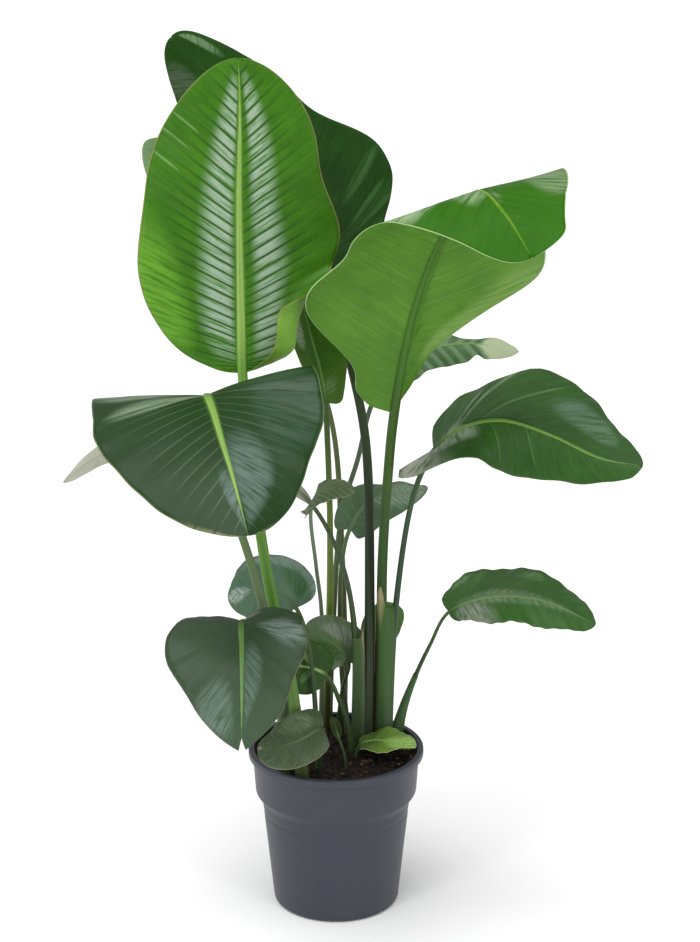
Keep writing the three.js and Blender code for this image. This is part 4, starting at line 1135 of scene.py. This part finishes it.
def make_pot():
    vertices, faces = turned(pot_profile(), POT_SEGMENTS)
    pot = object_of("pot_fine", cut_notches(vertices), faces, [plastic()])
    cut_drains(pot)
    pot.data.set_sharp_from_angle(angle=math.radians(SHARP_EDGE))
    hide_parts("pot")


make_pot()


# The compost -------------------------------------------------------------------------------

SOIL_BUMP = 2
SOIL_BUMP_LENGTHS = (107, 132, 195)
SOIL_RADIUS = 109
PEATS = ("120b08", "34241a")
CRUMBS = 2600
CRUMB_SEED = 7
CRUMB_SIZES = (1.2, 5.5)  # half the length of a crumb, from the smallest to the largest
CRUMB_POWERS = (3, 1.3)  # make small crumbs and dark colours the more common ones
CRUMB_STRETCH = ((0.8, 1.5), (0.5, 1.0), (0.35, 0.7))  # how long, broad and tall, in sizes
CRUMB_JITTER = (0.7, 1.15)  # how far out its corners lie
CRUMB_TILT = 0.5  # radians, the most to either side
CRUMB_LIFT = (0.0, 0.35)  # how far its middle lies above the compost, in sizes
CRUMB_COLOURS = (
    (0.0, "070403"), (0.45, "140c07"), (0.75, "281811"), (0.93, "40291c"), (1.0, "6f5640"),
)
CRUMB_SHADE = "0c0706"
LUMP_EDGE = 1.2  # corners of the lump that are nearer than this are neighbours


def soil_height(x, y):
    across, deep, slanted = (2 * math.pi / length for length in SOIL_BUMP_LENGTHS)
    waves = math.sin(x * across + 1) * math.cos(y * deep) + math.sin((x + y) * slanted)
    return SOIL_TOP + SOIL_BUMP * waves


def peat():
    shader = Shader("compost", GLOSS["peat"])
    coarse = shader.noise(GRAIN["peat"], 8.0, 0.7)
    colour = shader.mix(coarse.smooth(0.35, 0.7), *map(srgb, PEATS))
    shader.bump(coarse, RELIEF["peat"], 0.9)
    return shader.finish(colour, 0.9)


def crumb_material():
    """Peat and bark: each crumb has a colour of its own, from black to reddish brown and tan."""
    shader = Shader("compost_crumbs", GLOSS["crumbs"])
    tint = shader.attribute("tint")[0]
    ramp = shader.node("ValToRGB", {0: tint})
    elements = ramp.color_ramp.elements
    while len(elements) < len(CRUMB_COLOURS):
        elements.new(0.5)
    for element, (position, code) in zip(elements, CRUMB_COLOURS):
        element.position = position
        element.color = srgb(code)
    own = ramp.outputs[0]
    grain = shader.noise(GRAIN["crumbs"], 6.0, 0.7)
    colour = shader.mix(grain.smooth(0.35, 0.65), shader.mix(0.6, own, srgb(CRUMB_SHADE)), own)
    shader.bump(grain, RELIEF["crumbs"], 0.8)
    return shader.finish(colour, grain * 0.35 + 0.6)


def crumb_shape():
    """The corners and faces of a plain twenty-sided lump of radius 1."""
    g = (1 + 5**0.5) / 2
    ways = [(s, t * g, 0) for s in (-1, 1) for t in (-1, 1)]
    corners = unit(np.array([np.roll(way, shift) for shift in range(3) for way in ways], float))
    near = np.linalg.norm(corners[:, None] - corners[None], axis=2) < LUMP_EDGE
    faces = []
    for a, b, c in itertools.combinations(range(len(corners)), 3):
        if near[a, b] and near[b, c] and near[a, c]:
            turn = np.dot(np.cross(corners[b] - corners[a], corners[c] - corners[a]), corners[a])
            faces.append((a, b, c) if turn > 0 else (a, c, b))
    return corners, np.array(faces)


def tipped(lump, tilt, spin):
    """The lump tilted sideways, then turned round its own height."""
    c, s = math.cos(tilt), math.sin(tilt)
    lump = lump @ np.array([[c, 0, s], [0, 1, 0], [-s, 0, c]])
    c, s = math.cos(spin), math.sin(spin)
    return lump @ np.array([[c, s, 0], [-s, c, 0], [0, 0, 1]])


def stalk_feet():
    """Where the stalks come out of the compost, and their radii there."""
    feet = []
    for leaf in LEAVES.values():
        points = Line(leaf).points
        at = int(np.argmax(points[:, 2] > SOIL_TOP))
        feet.append((*points[at, :2], leaf["stalk_radius"][0]))
    return feet


def make_crumbs():
    draw = random.Random(CRUMB_SEED)
    corners, faces = crumb_shape()
    feet = stalk_feet()
    small, large = CRUMB_SIZES
    size_power, tint_power = CRUMB_POWERS
    vertices, made_faces, tints = [], [], []
    for _ in range(CRUMBS):
        size = small + (large - small) * draw.random() ** size_power
        reach = (SOIL_RADIUS - size) * math.sqrt(draw.random())
        turn = draw.random() * 2 * math.pi
        x, y = reach * math.cos(turn), reach * math.sin(turn)
        stretch = np.array([draw.uniform(*ends) for ends in CRUMB_STRETCH])
        jitter = np.array([draw.uniform(*CRUMB_JITTER) for _ in corners])[:, None]
        tint = draw.random() ** tint_power
        spin = draw.random() * 2 * math.pi
        tilt = draw.uniform(-CRUMB_TILT, CRUMB_TILT)
        if any(math.hypot(x - fx, y - fy) < radius + size for fx, fy, radius in feet):
            continue
        lift = soil_height(x, y) + size * draw.uniform(*CRUMB_LIFT)
        made_faces.append(faces + len(corners) * len(vertices))
        vertices.append(tipped(corners * jitter * stretch * size, tilt, spin) + (x, y, lift))
        tints += [(tint, 0, 0)] * len(corners)
    points, faces = np.vstack(vertices), np.vstack(made_faces).tolist()
    piece = object_of("soil_crumbs", points, faces, [crumb_material()], smooth=False)
    place_attribute(piece, "tint", tints)


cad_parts["soil"].material_slots[0].material = peat()
make_crumbs()


# The stage ---------------------------------------------------------------------------------

# The camera stands where the photograph was taken from.
CAMERA_PLACE = (0.0192, -2.84, 1.47)
CAMERA_PITCH = 16.7  # degrees down
PHOTO_HEIGHT = 942  # pixels
FOCAL_PIXELS = 2244
SENSOR = 36
WORLD_LIGHT = 0.5
SUN_LIGHT = 2.6
SUN_WIDTH = 60  # degrees; wide, so that shadows are soft
SUN_FROM = (-0.15, -0.25, 1)
SOFTBOXES = {
    "left_box": dict(place=(-1.6, -2.0, 1.3), power=15),
    "right_box": dict(place=(1.6, -2.0, 1.3), power=13),
}
SOFTBOX_SIZE = (0.45, 1.8)
SOFTBOX_TARGET = (0, 0, 0.7)
FLOOR_HALF = 30.0  # metres
FLOOR_WHITES = ("f4f4f4", "f7f7f7")


def make_floor():
    mesh = bpy.data.meshes.new("floor")
    ways = ((-1, -1), (1, -1), (1, 1), (-1, 1))
    mesh.from_pydata([(x * FLOOR_HALF, y * FLOOR_HALF, 0) for x, y in ways], [], [(0, 1, 2, 3)])
    shader = Shader("floor", GLOSS["floor"])
    cloud = shader.noise(GRAIN["floor"], 2.0)
    mesh.materials.append(shader.finish(shader.mix(cloud, *map(srgb, FLOOR_WHITES)), 0.9))
    floor = bpy.data.objects.new("floor", mesh)
    bpy.context.scene.collection.objects.link(floor)


def make_world():
    world = bpy.data.worlds.new("studio")
    bpy.context.scene.world = world
    world.use_nodes = True
    background = world.node_tree.nodes["Background"]
    background.inputs["Color"].default_value = (1.0, 1.0, 1.0, 1)
    background.inputs["Strength"].default_value = WORLD_LIGHT


def make_sun():
    light = bpy.data.lights.new("top_light", "SUN")
    light.energy = SUN_LIGHT
    light.angle = math.radians(SUN_WIDTH)
    sun = bpy.data.objects.new("top_light", light)
    sun.rotation_euler = Vector(SUN_FROM).to_track_quat("Z", "Y").to_euler()
    bpy.context.scene.collection.objects.link(sun)


def make_softbox(name, place, power):
    light = bpy.data.lights.new(name, "AREA")
    light.shape = "RECTANGLE"
    light.size, light.size_y = SOFTBOX_SIZE
    light.energy = power
    box = bpy.data.objects.new(name, light)
    box.location = place
    aim = Vector(SOFTBOX_TARGET) - Vector(place)
    box.rotation_euler = aim.to_track_quat("-Z", "Y").to_euler()
    bpy.context.scene.collection.objects.link(box)


def make_camera():
    lens = bpy.data.cameras.new("camera")
    lens.sensor_width = SENSOR
    lens.lens = FOCAL_PIXELS * SENSOR / PHOTO_HEIGHT
    camera = bpy.data.objects.new("camera", lens)
    camera.location = CAMERA_PLACE
    camera.rotation_euler = (math.radians(90 - CAMERA_PITCH), 0, 0)
    bpy.context.scene.collection.objects.link(camera)
    bpy.context.scene.camera = camera


make_floor()
make_world()
make_sun()
for box_name, softbox in SOFTBOXES.items():
    make_softbox(box_name, **softbox)
make_camera()
bpy.context.scene.view_settings.view_transform = "Standard"
